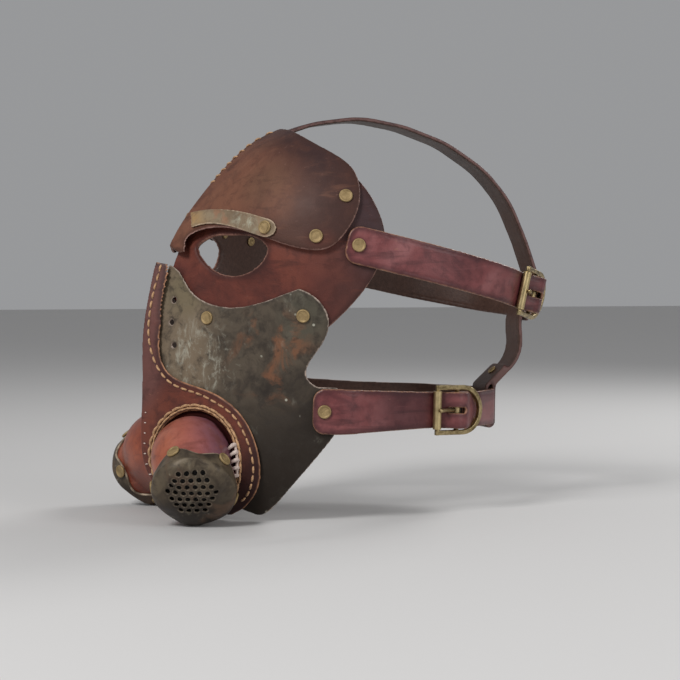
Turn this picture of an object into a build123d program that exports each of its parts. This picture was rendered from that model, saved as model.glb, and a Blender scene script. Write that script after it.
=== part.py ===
from build123d import *
from math import asin, cos, radians, sin, tan
import os

# Leather respirator mask: eye mask, brow visor, riveted cheek plates, a stitched
# muzzle with two perforated filter cups, and a buckled head harness.
# Millimetres. +Z is up, the mask looks along -Y, the wearer's left is +X. The origin
# is the centre of the wearer's head at eye level.

# Sheet thicknesses and the gaps between layers
BASE_T = 2.4
PLATE_T = 2.0
MUZZLE_T = 2.5
BROW_T = 2.8
STRIP_T = 1.1
STRAP_T = 2.2
LAYER_GAP = 0.2
SEAM_GAP = 0.2

# The face form, the last that the leather is moulded over. Each section is a level
# plan curve: height, y of the ridge, angle of the ridge to the mid-plane, half width
FORM_SECTIONS = (
    (76, -26.5, 80, 33),
    (66, -45.8, 80, 47.5),
    (54, -61.6, 78, 59),
    (40, -74.4, 74, 68),
    (24, -87, 68, 74),
    (8, -96.5, 60, 76.4),
    (-14, -104.5, 50, 76.2),
    (-40, -110.5, 46, 71.5),
    (-68, -112.2, 46, 67.2),
    (-94, -113.4, 50, 65.6),
    (-118, -110, 57, 59.5),
    (-142, -91, 66, 51),
)
FORM_SIDE_Y = -5
FORM_BACK_Y = 16
RIDGE_REACH = 0.45
SIDE_REACH = 0.40
OUTSIDE = 130
VISOR_STANDOFF = 3.2

# Rivets
RIVET_HEAD_R = 3.6
RIVET_HEAD_H = 1.5
RIVET_SHANK_R = 1.5
RIVET_BURR_R = 2.6
RIVET_BURR_T = 0.8
RIVET_FIT = 0.1
RIVET_SEAT = 0.25
RIVET_LIFT = 0.08
RIVET_EYE_R = 0.3
RIVET_DOME = (0.58, 0.86)
VENT_R = 1.65

# How far each kind of hole is cut either side of its seat
LAYERED_CUT = 14
PLATE_CUT = 9
HARNESS_CUT = 12
CAP_CUT = 6
FLANGE_CUT = 30
CUT_PAST = 5

# Filter cups
CUP_BASE = Vector(26, -96, -108)
CUP_BASE_AXIS = Vector(0.70, -0.71, -0.03)
CUP_RIM = Vector(53.5, -102.7, -118.8)
CUP_RIM_AXIS = Vector(0.79, -0.30, -0.53)
CUP_BASE_R = 23.4
CUP_RIM_R = 20.8
CUP_WAIST_R = 22.2
CUP_BULGE = 6
CUP_T = 2.0
CUP_ROOT = 12
CUP_HOLE_GAP = 0.7
CUP_FLANGE_R = 31.5
CUP_COLLAR_LAP = 1
CUP_BORE_PAST = 3
FLANGE_BACK_Y = -60
FLANGE_TOP_Z = -60
FLANGE_FOOT_Z = -137
CAP_T = 1.3
CAP_FIT = 0.15
CAP_SKIRT = 4.6
CAP_CROWN_H = 9.5
CAP_SHOULDER = (0.93, 0.55)
CAP_CROWN_REACH = 0.5
CAP_TABS = 5
CAP_SCALLOP_R = 9.5
CAP_SCALLOP_DEPTH = 5.6
CAP_HOLE_R = 1.05
CAP_HOLE_PITCH = 4.4
CAP_HOLE_RINGS = 2
CAP_EYE_R = 0.4
CAP_PHASE = 44
CAP_RIVET_SET = 2.2

# Harness straps and their buckles
STRAP_W = 20
LOWER_STRAP_END_W = 24
UPPER_TILT = 13.2
UPPER_PIVOT_Y = -21
UPPER_PIVOT_Z = 6
LOWER_TILT = 1.5
LOWER_PIVOT_Y = -36
LOWER_PIVOT_Z = -81
BAR_R = 1.3
ROLLER_R = 2.3
ROLLER_FIT = 0.06
ROLLER_SET = 13.5
TONGUE_R = 1.1
TONGUE_EYE_R = 2.3
TONGUE_W = 3.0
TONGUE_REST_GAP = 0.15
TONGUE_OVERHANG = 2.0
TONGUE_SWING = 85
TONGUE_ROOT = 0.4
TONGUE_TIP_ROUND = 0.7
SLOT_PLAY = 0.4
FRAME_T = 3.0
FRAME_BAND = 3.0
FRAME_PLAY = 0.75
FRAME_ROUND = 0.3
BOW_CENTRE = 4.5
UPPER_BUCKLE_AT = (46.5, 93.0)
UPPER_BUCKLE_HEADING = 44
LOWER_BUCKLE_AT = (47.6, 45.5)
LOWER_BUCKLE_HEADING = 71
WRAP_GAP = 0.15
ROLLER_GAP = 0.25
STRAP_PLAY = 0.15
TAIL_DROP = 0.2
TIP_FALL_START = 2.5
TIP_FALL_END = 10.5
TIP_END = 13.3
TIP_BEND = 5
TIP_TRIM = 1
FOLD_MEET = 8.0
FOLD_END = 15.5
FOLD_BEND = 5
FOLD_NECK_BEND = 4
FOLD_TAIL_BEND = 3
FOLD_NECK = (1.0, 1.2)
FOLD_PLAY = 0.05
FOLD_CORNER = 3
TONGUE_SLOT = (-2.0, 9.6)
TAPER_FRONT = -90
TAPER_START = -28
TAPER_END = 26
UPPER_BACK_Y = 107.5
UPPER_BACK_BEND = 20
LOWER_BACK_Y = 81
LOWER_BACK_BEND = 10
BACK_FLAT = 15
BUCKLE_RUN_IN = 20
BUCKLE_BEND = 14
STRAP_CORNER = 6.5
HARNESS_RIVET_X = 4.5
CROWN_ROUTE = ((-52, 61.0), (-40, 68.2), (-24, 73.8), (3, 77.6), (29, 73.2), (54, 64.6), (77.6, 49.7),
               (93, 32.2))
CROWN_BEND = 60
CROWN_BACK = (103.2, 9)
CROWN_BACK_BEND = 50
CROWN_TURN_UP = 14
CROWN_TURN_BEND = 14
CROWN_END = -12
CROWN_CORNER = 3
NAPE_TOP = 8
NAPE_TURN = -13
NAPE_TURN_BEND = 30
NAPE_KNEE = (100.4, -56)
NAPE_KNEE_BEND = 20
NAPE_TAIL = 13
NAPE_RIVET_SET = 6
LOOP_HEAD = 2.4
LOOP_FOOT = 1.6
LOOP_SHOULDER = 1.2
LOOP_BEND = 3
LOOP_EASE = 0.1

os.makedirs("parts", exist_ok=True)


def form_section(section, out, visor):
    """One closed level section of the face form, moved outwards by `out`."""
    height, ridge_y, ridge_angle, half_width = section
    lean = radians(ridge_angle)
    ridge = Vector(0, ridge_y - visor - out / sin(lean))
    side = Vector(half_width + out, FORM_SIDE_Y)
    span = (side - ridge).length
    with BuildSketch(Plane.XY.offset(height)) as level:
        with BuildLine():
            Bezier(
                ridge,
                ridge + Vector(sin(lean), cos(lean)) * (RIDGE_REACH * span),
                side - Vector(0, SIDE_REACH * span),
                side,
            )
            Polyline(side, (half_width + out, FORM_BACK_Y), (0, FORM_BACK_Y))
            mirror(about=Plane.YZ)
        make_face()
    return level.sketch.face()


def form(out, visor=0):
    """Solid of the face form, every wall moved outwards by `out`."""
    return loft([form_section(section, out, visor) for section in FORM_SECTIONS])


base_inner = form(-BASE_T)
base_outer = form(0)
plate_in = LAYER_GAP
plate_out = plate_in + PLATE_T
muzzle_in = plate_out + LAYER_GAP
muzzle_out = muzzle_in + MUZZLE_T
plate_inner = form(plate_in)
plate_outer = form(plate_out)
muzzle_inner = form(muzzle_in)
muzzle_outer = form(muzzle_out)
brow_out = LAYER_GAP + BROW_T
strip_in = brow_out + LAYER_GAP
brow_inner = form(LAYER_GAP, VISOR_STANDOFF)
brow_outer = form(brow_out, VISOR_STANDOFF)
strip_inner = form(strip_in, VISOR_STANDOFF)
strip_outer = form(strip_in + STRIP_T, VISOR_STANDOFF)


def seat(surface, y, z):
    """Plane that lies on the wearer's-left face of a form at side-view place y, z."""
    ray = Axis((0, y, z), (1, 0, 0))
    hits = surface.shell().find_intersection_points(ray)
    spot, normal = max(hits, key=lambda hit: hit[0].X)
    if normal.X < 0:
        normal = -normal
    along = Vector(0, 0, 1).cross(normal)
    return Plane(origin=spot, x_dir=along, z_dir=normal)


def rivet(place, grip):
    """Domed rivet whose head stands on a plane, with a burr at the far side of its grip."""
    rim_h = RIVET_HEAD_H / 4
    dome = (RIVET_HEAD_R * RIVET_DOME[0], RIVET_HEAD_H * RIVET_DOME[1])
    with BuildPart() as fastener:
        with BuildSketch(Plane(place.origin, x_dir=place.x_dir, z_dir=-place.y_dir)):
            with BuildLine():
                Polyline((0, RIVET_HEAD_H), (0, -grip - RIVET_BURR_T), (RIVET_BURR_R, -grip - RIVET_BURR_T),
                         (RIVET_BURR_R, -grip), (RIVET_SHANK_R, -grip), (RIVET_SHANK_R, RIVET_LIFT),
                         (RIVET_HEAD_R, RIVET_LIFT), (RIVET_HEAD_R, rim_h))
                ThreePointArc((RIVET_HEAD_R, rim_h), dome, (RIVET_EYE_R, RIVET_HEAD_H))
                Line((RIVET_EYE_R, RIVET_HEAD_H), (0, RIVET_HEAD_H))
            make_face()
        revolve(axis=Axis(place.origin, place.z_dir))
    return fastener.part


def drill(place, radius, depth):
    """Round cutter through a wall at a seat plane."""
    return extrude(place * Circle(radius), depth, both=True)


def strap_plane(tilt, pivot_y, pivot_z):
    """Plane of a strap's mid-line, tipped down towards the back of the head."""
    lean = radians(tilt)
    height = pivot_z + pivot_y * tan(lean)
    return Plane((0, 0, height), x_dir=(1, 0, 0), z_dir=(0, sin(lean), cos(lean)))


def strap_seat(plane, start, end, along):
    """Plane on the outer face of a strap's straight stretch, at a distance along it."""
    heading = (Vector(*end) - Vector(*start)).normalized()
    spot = Vector(*start) + heading * along
    facing = Vector(heading.Y, -heading.X)
    origin = plane.from_local_coords(spot + facing * (STRAP_T / 2))
    return Plane(origin, x_dir=plane.z_dir, z_dir=plane.from_local_coords(spot + facing * STRAP_T) - origin)


def depth_to(place, surface):
    """Distance from a seat plane straight in to a form's surface."""
    hits = surface.shell().find_intersection_points(Axis(place.origin, -place.z_dir))
    return min((spot - place.origin).length for spot, _ in hits)


upper_plane = strap_plane(UPPER_TILT, UPPER_PIVOT_Y, UPPER_PIVOT_Z)
lower_plane = strap_plane(LOWER_TILT, LOWER_PIVOT_Y, LOWER_PIVOT_Z)

# Side-view outlines, in y and z. They run outside the form where the edge is at the ridge.
with BuildSketch(Plane.YZ) as eye_mask_outline:
    with BuildLine():
        Polyline((-OUTSIDE, -10), (-OUTSIDE, 50), (-45, 50), (-21, 45))
        Spline((-21, 45), (-15.3, 38), (-7.6, 22), (-5.6, 10), (-9.9, -6), (-21, -23), (-36, -39))
        Spline((-36, -39), (-46, -45), (-62, -41), (-76, -41.5), (-90, -36), (-101, -24), (-110, -10))
        Line((-110, -10), (-OUTSIDE, -10))
    make_face()

with BuildSketch(Plane.YZ) as brow_outline:
    with BuildLine():
        Polyline((-OUTSIDE, 9.5), (-OUTSIDE, 75.9), (-41.5, 75.9), (-39.5, 66))
        Spline((-39.5, 66), (-29, 55.4), (-20.2, 46.5), (-18.2, 35), (-20.2, 25), (-27, 13), (-36.7, 4.2),
               (-46, 3.6), (-66.3, 10.9), (-82.6, 15.8), (-92, 13.6), (-96.5, 9.5))
        Polyline((-96.5, 9.5), (-97.8, 2.5), (-100, 2.5), (-106, 9.5), (-OUTSIDE, 9.5))
    make_face()

with BuildSketch(Plane.YZ) as plate_outline:
    with BuildLine():
        Polyline((-OUTSIDE, -58), (-OUTSIDE, -2.6), (-106, -2.6))
        Spline((-106, -2.6), (-100.8, -5.6), (-95, -18.1), (-84, -26), (-70, -25.4), (-58, -20.5),
               (-49.4, -16.6))
        Spline((-49.4, -16.6), (-45, -18.6), (-34.6, -33.6), (-37, -45), (-44.6, -61.4), (-39, -68.2))
        Polyline((-39, -68.2), (-29, -68.6), (-26.5, -71), (-26.5, -88), (-31.8, -96.3))
        Spline((-31.8, -96.3), (-40.6, -108), (-51, -123), (-58.6, -134.4), (-62.6, -137.6),
               (-67, -136.6))
        Spline((-67, -136.6), (-75, -131), (-72.2, -116), (-76, -95.5), (-84, -80.8), (-99.5, -73.2),
               (-114, -60))
        Line((-114, -60), (-OUTSIDE, -58))
    make_face()

with BuildSketch(Plane.YZ) as muzzle_outline:
    with BuildLine():
        Polyline((-OUTSIDE, -138), (-OUTSIDE, -1), (-107.5, -1), (-104.9, -3.5))
        Spline((-104.9, -3.5), (-110.9, -25.7), (-112.3, -46), (-105.5, -63.3), (-89, -71.2),
               (-75.1, -83.3), (-67.4, -105.7), (-67.6, -125), (-72, -134))
        Polyline((-72, -134), (-77, -138), (-OUTSIDE, -138))
    make_face()

with BuildSketch(Plane.YZ) as strip_outline:
    with BuildLine():
        Spline((-92.6, 24.4), (-82, 25.7), (-72, 23.4), (-64.5, 20.3))
        ThreePointArc((-64.5, 20.3), (-60.4, 14.6), (-65.6, 10.2))
        Spline((-65.6, 10.2), (-75, 14.4), (-84.2, 17.6), (-94, 15.8))
        Line((-94, 15.8), (-92.6, 24.4))
    make_face()

# Eye opening in front view, x and z
with BuildSketch(Plane.XZ) as eye_outline:
    with BuildLine():
        Spline((10.5, 4), (17, -3), (28, -9.2), (39, -9.2), (48.5, -2.7), (51, 4), (45, 10), (30, 11.5),
               (15, 9.5), periodic=True)
    make_face()

# Seats of the fasteners, in side view
BROW_RIVETS = ((-26.2, 31.6), (-42.2, 10.7))
STRIP_RIVET = (-65.2, 15.4)
CHEEK_RIVETS = ((-88.9, -32.4), (-47.3, -30.8))
VENTS = ((-103.0, -23.0), (-104.6, -35.0), (-103.8, -47.3))

# Plan paths of the straps where they lie on the mask, as points and bends
UPPER_FRONT = (((75.9, -27.5), 0), ((78.4, -13), 60), ((80.6, 26), 100))
LOWER_FRONT = (((64.9, -42), 0), ((70.8, -25), 30))
UPPER_TURN_IN = 36
UPPER_TURN_BEND = 70
UPPER_AROUND = (((-69, 66), 60), ((-40, 97), 40))
LOWER_AROUND = (((-41.6, 51.9), 40),)
UPPER_RIVET_SET = 6.2
LOWER_RIVET_SET = 6.2

brow_seats = [seat(brow_outer, y, z) for y, z in BROW_RIVETS]
strip_seat = seat(strip_outer, *STRIP_RIVET)
cheek_seats = [seat(plate_outer, y, z) for y, z in CHEEK_RIVETS]
vent_seats = [seat(plate_outer, y, z) for y, z in VENTS]

hole_r = RIVET_SHANK_R + RIVET_FIT
brow_holes = [drill(place, hole_r, LAYERED_CUT) for place in brow_seats + [strip_seat]]
cheek_holes = [drill(place, hole_r, PLATE_CUT) for place in cheek_seats]
upper_seat = strap_seat(upper_plane, UPPER_FRONT[0][0], UPPER_FRONT[1][0], UPPER_RIVET_SET)
lower_seat = strap_seat(lower_plane, LOWER_FRONT[0][0], LOWER_FRONT[1][0], LOWER_RIVET_SET)
upper_hole = drill(upper_seat, hole_r, LAYERED_CUT)
lower_hole = drill(lower_seat, hole_r, LAYERED_CUT)
vent_holes = [drill(place, VENT_R, PLATE_CUT) for place in vent_seats]


# Cup places: base circle in the muzzle, rim circle under the cap
base_axis = CUP_BASE_AXIS.normalized()
rim_axis = CUP_RIM_AXIS.normalized()
level_dir = Vector(0, 0, 1)
base_plane = Plane(CUP_BASE, x_dir=level_dir.cross(base_axis), z_dir=base_axis)
rim_plane = Plane(CUP_RIM, x_dir=level_dir.cross(rim_axis), z_dir=rim_axis)


def cup_body(grow, past_ends=0):
    """Bent round cup from inside the muzzle to its mouth, every wall moved out by `grow`."""
    foot = base_plane.offset(-CUP_ROOT - past_ends)
    collar = rim_plane.offset(-CAP_SKIRT - CUP_COLLAR_LAP)
    middle = (base_plane.origin + collar.origin) / 2 + (base_axis - rim_axis) * CUP_BULGE
    waist_axis = (base_axis + rim_axis).normalized()
    waist = Plane(middle, x_dir=level_dir.cross(waist_axis), z_dir=waist_axis)
    with BuildPart() as body:
        with BuildSketch(foot):
            Circle(CUP_BASE_R + grow)
        extrude(amount=CUP_ROOT + past_ends)
        for place, radius in ((base_plane, CUP_BASE_R), (waist, CUP_WAIST_R), (collar, CUP_RIM_R)):
            with BuildSketch(place):
                Circle(radius + grow)
        loft()
        with BuildSketch(collar):
            Circle(CUP_RIM_R + grow)
        extrude(amount=2 * CAP_SKIRT + CUP_COLLAR_LAP + past_ends)
    return body.part


cup_outer = cup_body(0)
cup_inner = cup_body(-CUP_T, past_ends=CUP_BORE_PAST)
cup_clearance = extrude(base_plane.offset(-CUP_ROOT) * Circle(CUP_BASE_R + CUP_HOLE_GAP), 3 * CUP_ROOT)
flange_disc = drill(base_plane, CUP_FLANGE_R, FLANGE_CUT)
flange_cutter = drill(base_plane, CUP_FLANGE_R + LAYER_GAP, FLANGE_CUT)


def panel(outline, outer, inner, both_sides):
    """Leather or metal sheet: the part of a form's wall inside a side-view outline."""
    with BuildPart() as sheet:
        if both_sides:
            extrude(outline.sketch, amount=OUTSIDE, both=True)
        else:
            extrude(outline.sketch.moved(Location((SEAM_GAP / 2, 0, 0))), amount=OUTSIDE)
        add(outer, mode=Mode.INTERSECT)
        add(inner, mode=Mode.SUBTRACT)
    return sheet.part


def export(part, name):
    """Label a finished piece and write it."""
    part.label = name
    export_step(part, f"parts/{name}.step")


def export_pair(part, name):
    """Write a wearer's-left piece and its mirrored twin."""
    export(part, f"{name}_left")
    export(part.mirror(Plane.YZ), f"{name}_right")


# Eye mask: one sheet over the bridge of the nose and both temples
with BuildPart() as eye_mask:
    add(panel(eye_mask_outline, base_outer, base_inner, True))
    extrude(eye_outline.sketch, amount=OUTSIDE, both=True, mode=Mode.SUBTRACT)
    extrude(eye_outline.sketch.mirror(Plane.YZ), amount=OUTSIDE, both=True, mode=Mode.SUBTRACT)
    for hole in brow_holes + cheek_holes + [upper_hole]:
        add(hole, mode=Mode.SUBTRACT)
        add(hole.mirror(Plane.YZ), mode=Mode.SUBTRACT)
export(eye_mask.part, "eye_mask")

# Brow plates: two halves that stand off the bridge as a visor
with BuildPart() as brow_plate:
    add(panel(brow_outline, brow_outer, brow_inner, False))
    for hole in brow_holes:
        add(hole, mode=Mode.SUBTRACT)
export_pair(brow_plate.part, "brow_plate")

# Brow strips: riveted trim strips over the eyes
with BuildPart() as brow_strip:
    add(panel(strip_outline, strip_outer, strip_inner, False))
    add(brow_holes[-1], mode=Mode.SUBTRACT)
export_pair(brow_strip.part, "brow_strip")

# Cheek plates
with BuildPart() as cheek_plate:
    add(panel(plate_outline, plate_outer, plate_inner, False))
    add(flange_cutter, mode=Mode.SUBTRACT)
    for hole in cheek_holes + vent_holes + [lower_hole]:
        add(hole, mode=Mode.SUBTRACT)
export_pair(cheek_plate.part, "cheek_plate")

# Muzzle: one sheet folded over the ridge, with a round hole for each cup
with BuildPart() as muzzle:
    add(panel(muzzle_outline, muzzle_outer, muzzle_inner, True))
    add(cup_clearance, mode=Mode.SUBTRACT)
    add(cup_clearance.mirror(Plane.YZ), mode=Mode.SUBTRACT)
export(muzzle.part, "muzzle")

# Cap sizes, and the seats of its rivets on the middle of each tab
cap_inner_r = CUP_RIM_R + CAP_FIT
cap_outer_r = cap_inner_r + CAP_T
crown_z = CAP_SKIRT + CAP_FIT
inner_h = CAP_CROWN_H - CAP_T
shoulder_r, shoulder_h = CAP_SHOULDER


def cap_spoke(turns, reach, up):
    """Plane that looks outwards from the cap's axis, a share of a turn past the first tab."""
    angle = radians(CAP_PHASE + 360 * turns)
    outward = rim_plane.x_dir * cos(angle) + rim_plane.y_dir * sin(angle)
    return Plane(rim_plane.origin + outward * reach + rim_axis * up,
                 x_dir=rim_axis.cross(outward), z_dir=outward)


cap_seats = [cap_spoke(tab / CAP_TABS, cap_outer_r, -CAP_RIVET_SET) for tab in range(CAP_TABS)]
cap_rivet_holes = [drill(place, hole_r, CAP_CUT) for place in cap_seats]

# Filter cups: bent leather cups with a flange that lies under the muzzle
with BuildPart() as filter_cup:
    with BuildSketch(Plane.YZ.offset(SEAM_GAP)):
        Polygon((-OUTSIDE, FLANGE_FOOT_Z), (-OUTSIDE, FLANGE_TOP_Z), (FLANGE_BACK_Y, FLANGE_TOP_Z),
                (FLANGE_BACK_Y, FLANGE_FOOT_Z), align=None)
    extrude(amount=OUTSIDE)
    add(flange_disc, mode=Mode.INTERSECT)
    add(plate_outer, mode=Mode.INTERSECT)
    add(cup_outer)
    add(plate_inner, mode=Mode.SUBTRACT)
    add(cup_inner, mode=Mode.SUBTRACT)
    for hole in cap_rivet_holes:
        add(hole, mode=Mode.SUBTRACT)
export_pair(filter_cup.part, "filter_cup")

# Filter caps: perforated domes whose scalloped skirt is riveted to the cup
with BuildPart() as filter_cap:
    with BuildSketch(Plane(rim_plane.origin, x_dir=rim_plane.x_dir, z_dir=-rim_plane.y_dir)):
        with BuildLine():
            Polyline((cap_inner_r, crown_z), (cap_inner_r, -CAP_SKIRT), (cap_outer_r, -CAP_SKIRT),
                     (cap_outer_r, crown_z))
            Bezier((cap_outer_r, crown_z), (cap_outer_r * shoulder_r, crown_z + CAP_CROWN_H * shoulder_h),
                   (cap_outer_r * CAP_CROWN_REACH, crown_z + CAP_CROWN_H),
                   (CAP_EYE_R, crown_z + CAP_CROWN_H))
            Line((CAP_EYE_R, crown_z + CAP_CROWN_H), (CAP_EYE_R, crown_z + inner_h))
            Bezier((CAP_EYE_R, crown_z + inner_h), (cap_inner_r * CAP_CROWN_REACH, crown_z + inner_h),
                   (cap_inner_r * shoulder_r, crown_z + inner_h * shoulder_h), (cap_inner_r, crown_z))
        make_face()
    revolve(axis=Axis(rim_plane.origin, rim_plane.z_dir))
    for tab in range(CAP_TABS):
        with BuildSketch(cap_spoke((tab + 0.5) / CAP_TABS, cap_inner_r / 2, 0)):
            with Locations((0, -CAP_SKIRT - CAP_SCALLOP_R + CAP_SCALLOP_DEPTH)):
                Circle(CAP_SCALLOP_R)
        extrude(amount=cap_outer_r, mode=Mode.SUBTRACT)
    with BuildSketch(rim_plane):
        with HexLocations(CAP_HOLE_PITCH / 2, 2 * CAP_HOLE_RINGS + 1, 2 * CAP_HOLE_RINGS + 1):
            Circle(CAP_HOLE_R)
    extrude(amount=crown_z + CAP_CROWN_H + CUT_PAST, mode=Mode.SUBTRACT)
    for hole in cap_rivet_holes:
        add(hole, mode=Mode.SUBTRACT)
export_pair(filter_cap.part, "filter_cap")


# Harness. Each strap is a plan-view profile pushed out square to its tilted plane.
class Buckle:
    """Places in a buckle's own section: u runs from the roller to the bow, w outwards."""

    def __init__(self, plane, centre, heading):
        self.plane = plane
        self.centre = Vector(*centre)
        turn = radians(heading)
        self.along = Vector(-cos(turn), sin(turn))
        self.out = Vector(sin(turn), cos(turn))

    def at(self, u, w):
        """Point of the section in the strap plane's own coordinates."""
        return self.centre + self.along * u + self.out * w

    def section(self):
        """Section plane: x along the strap, y outwards, z across the strap."""
        origin = self.plane.from_local_coords(self.centre)
        x_dir = self.plane.from_local_coords(self.centre + self.along) - origin
        return Plane(origin, x_dir=x_dir, z_dir=-self.plane.z_dir)

    def face(self):
        """Face plane of the frame: x along the strap, y across it, z outwards."""
        section = self.section()
        return Plane(section.origin, x_dir=section.x_dir, z_dir=section.y_dir)


upper_buckle = Buckle(upper_plane, UPPER_BUCKLE_AT, UPPER_BUCKLE_HEADING)
lower_buckle = Buckle(lower_plane, LOWER_BUCKLE_AT, LOWER_BUCKLE_HEADING)

# The free strap dips under the roller and climbs over the fold on the middle bar.
half_t = STRAP_T / 2
wrap_r = BAR_R + WRAP_GAP + half_t
low_w = ROLLER_R + ROLLER_GAP + half_t
high_w = BAR_R + WRAP_GAP + STRAP_T + STRAP_PLAY + half_t
climb = asin((low_w + high_w) / ROLLER_SET)
climb_foot = -ROLLER_SET + low_w * tan(climb / 2)
climb_head = -high_w * tan(climb / 2)
tail_w = -(FRAME_T / 2 + STRAP_PLAY + half_t + TAIL_DROP)
main_w = tail_w - STRAP_T - STRAP_PLAY
tip_w = tail_w + STRAP_T + 4 * STRAP_PLAY


def strap_body(plane, path, width, rounded):
    """Strap of one thickness along a plan path of points and bends, corners rounded at its ends."""
    with BuildPart() as strap:
        with BuildSketch(plane.offset(-width / 2)):
            with BuildLine() as route:
                FilletPolyline(*[point for point, _ in path], radius=[bend for _, bend in path[1:-1]])
            trace(route.line, line_width=STRAP_T)
        extrude(amount=width)
        for (point, _), radius in zip((path[0], path[-1]), rounded):
            if not radius:
                continue
            end = strap.faces().sort_by_distance(plane.from_local_coords(Vector(*point)))[0]
            fillet(end.edges().filter_by(lambda edge: abs(edge.length - STRAP_T) < 0.01), radius)
    return strap.part


def free_strap(buckle, front, width, front_corner):
    """Strap that runs from the mask through its buckle, with a slot for the tongue."""
    path = front + [
        (buckle.at(climb_foot, -low_w), low_w),
        (buckle.at(climb_head, high_w), high_w),
        (buckle.at(TIP_FALL_START, high_w), TIP_BEND),
        (buckle.at(TIP_FALL_END, tip_w), TIP_BEND),
        (buckle.at(TIP_END, tip_w), 0),
    ]
    strap = strap_body(buckle.plane, path, width, (front_corner, 0))
    tip_round = STRAP_W / 2
    with BuildPart() as corners:
        with BuildSketch(buckle.face().offset(-FRAME_T)):
            with Locations((TIP_END - tip_round / 2 + TIP_TRIM, 0)):
                Rectangle(tip_round + 2 * TIP_TRIM, STRAP_W + 2 * TIP_TRIM)
            with Locations((TIP_END - tip_round, 0)):
                Circle(tip_round, mode=Mode.SUBTRACT)
        extrude(amount=high_w + 2 * FRAME_T)
    return strap - corners.part - tongue_sweep(buckle)


def tongue_sweep(buckle):
    """Room that the tongue needs in the free strap, from rest to wide open."""
    reach = ROLLER_SET
    side = TONGUE_R + SLOT_PLAY
    rest = radians(180) - tongue_rise
    wide = rest - radians(TONGUE_SWING)
    low = Vector(-sin(rest), cos(rest)) * side
    far = Vector(sin(wide), -cos(wide)) * side
    first = Vector(cos(rest), sin(rest)) * reach
    last = Vector(cos(wide), sin(wide)) * reach
    with BuildPart() as sweep:
        with BuildSketch(buckle.section()):
            Polygon(low, low + first, (first + last) * 1.1, far + last, far, align=None)
        extrude(amount=TONGUE_R + SLOT_PLAY, both=True)
    return sweep.part


def anchored_strap(buckle, front, width, front_corner):
    """Strap that ends in a sewn fold round the buckle's middle bar."""
    fold_w = wrap_r + FOLD_PLAY
    near_neck, far_neck = FOLD_NECK
    path = front + [
        (buckle.at(FOLD_MEET, main_w), FOLD_BEND),
        (buckle.at(near_neck, -fold_w), FOLD_NECK_BEND),
        (buckle.at(-fold_w, -fold_w), wrap_r),
        (buckle.at(-fold_w, fold_w), wrap_r),
        (buckle.at(far_neck, fold_w), FOLD_TAIL_BEND),
        (buckle.at(FOLD_MEET, tail_w), FOLD_NECK_BEND),
        (buckle.at(FOLD_END, tail_w), 0),
    ]
    strap = strap_body(buckle.plane, path, width, (front_corner, FOLD_CORNER))
    slot_at, slot_length = TONGUE_SLOT
    with BuildPart() as slot:
        with BuildSketch(buckle.section()):
            with Locations((slot_at, 0)):
                Rectangle(slot_length, 4 * wrap_r)
        extrude(amount=TONGUE_W / 2 + SLOT_PLAY, both=True)
    return strap - slot.part


def front_taper(plane, wide):
    """Side-view limits of a strap that is wider at the mask than at its buckle."""
    side = Plane(plane.origin, x_dir=plane.y_dir, z_dir=plane.x_dir)
    with BuildPart() as limits:
        with BuildSketch(side):
            Polygon((TAPER_FRONT, -wide / 2), (TAPER_START, -wide / 2), (TAPER_END, -STRAP_W / 2),
                    (OUTSIDE, -STRAP_W / 2), (OUTSIDE, STRAP_W / 2), (TAPER_END, STRAP_W / 2),
                    (TAPER_START, wide / 2), (TAPER_FRONT, wide / 2), align=None)
        extrude(amount=OUTSIDE, both=True)
    return limits.part


def mirrored(path):
    """Plan path on the other side of the head."""
    return [((-x, y), bend) for (x, y), bend in path]


tongue_rise = asin((ROLLER_R + TONGUE_REST_GAP + TONGUE_R) / ROLLER_SET)

upper_front = list(UPPER_FRONT)
lower_front = list(LOWER_FRONT)
upper_side = [(tuple(upper_buckle.at(-UPPER_TURN_IN, -low_w))[:2], UPPER_TURN_BEND)]
step = STRAP_T + STRAP_PLAY


def round_back(around, back_y, bend, buckle):
    """Plan path behind the head, flat across the middle, that ends at the buckle."""
    flat = [((-BACK_FLAT, back_y), bend), ((BACK_FLAT, back_y), bend)]
    return list(around) + flat + [(buckle.at(BUCKLE_RUN_IN, main_w), BUCKLE_BEND)]


def harness_place(plane, x, along, up):
    """Outward-facing seat behind the head, in a strap plane's own coordinates."""
    return Plane(plane.from_local_coords((x, along, up)), x_dir=(1, 0, 0), z_dir=plane.y_dir)


def mid_point(plane, along, up):
    """Side-view y and z of a strap plane's mid-plane point."""
    spot = plane.from_local_coords((0, along, up))
    return (spot.Y, spot.Z)


back_seats = [harness_place(upper_plane, x, UPPER_BACK_Y + step + half_t, 0)
              for x in (-HARNESS_RIVET_X, HARNESS_RIVET_X)]
back_holes = [drill(place, hole_r, HARNESS_CUT) for place in back_seats]
lower_taper = front_taper(lower_plane, LOWER_STRAP_END_W)

with BuildPart() as upper_strap_left:
    add(free_strap(upper_buckle, upper_front + upper_side, STRAP_W, STRAP_CORNER))
    add(upper_hole, mode=Mode.SUBTRACT)
export(upper_strap_left.part, "upper_strap_left")

with BuildPart() as upper_strap_right:
    add(anchored_strap(
        upper_buckle,
        mirrored(upper_front) + round_back(UPPER_AROUND, UPPER_BACK_Y, UPPER_BACK_BEND, upper_buckle),
        STRAP_W, STRAP_CORNER,
    ))
    add(upper_hole.mirror(Plane.YZ), mode=Mode.SUBTRACT)
    for hole in back_holes:
        add(hole, mode=Mode.SUBTRACT)
export(upper_strap_right.part, "upper_strap_right")

with BuildPart() as lower_strap_left:
    add(free_strap(lower_buckle, lower_front, LOWER_STRAP_END_W, STRAP_CORNER))
    add(lower_taper, mode=Mode.INTERSECT)
    add(lower_hole, mode=Mode.SUBTRACT)
export(lower_strap_left.part, "lower_strap_left")

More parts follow.
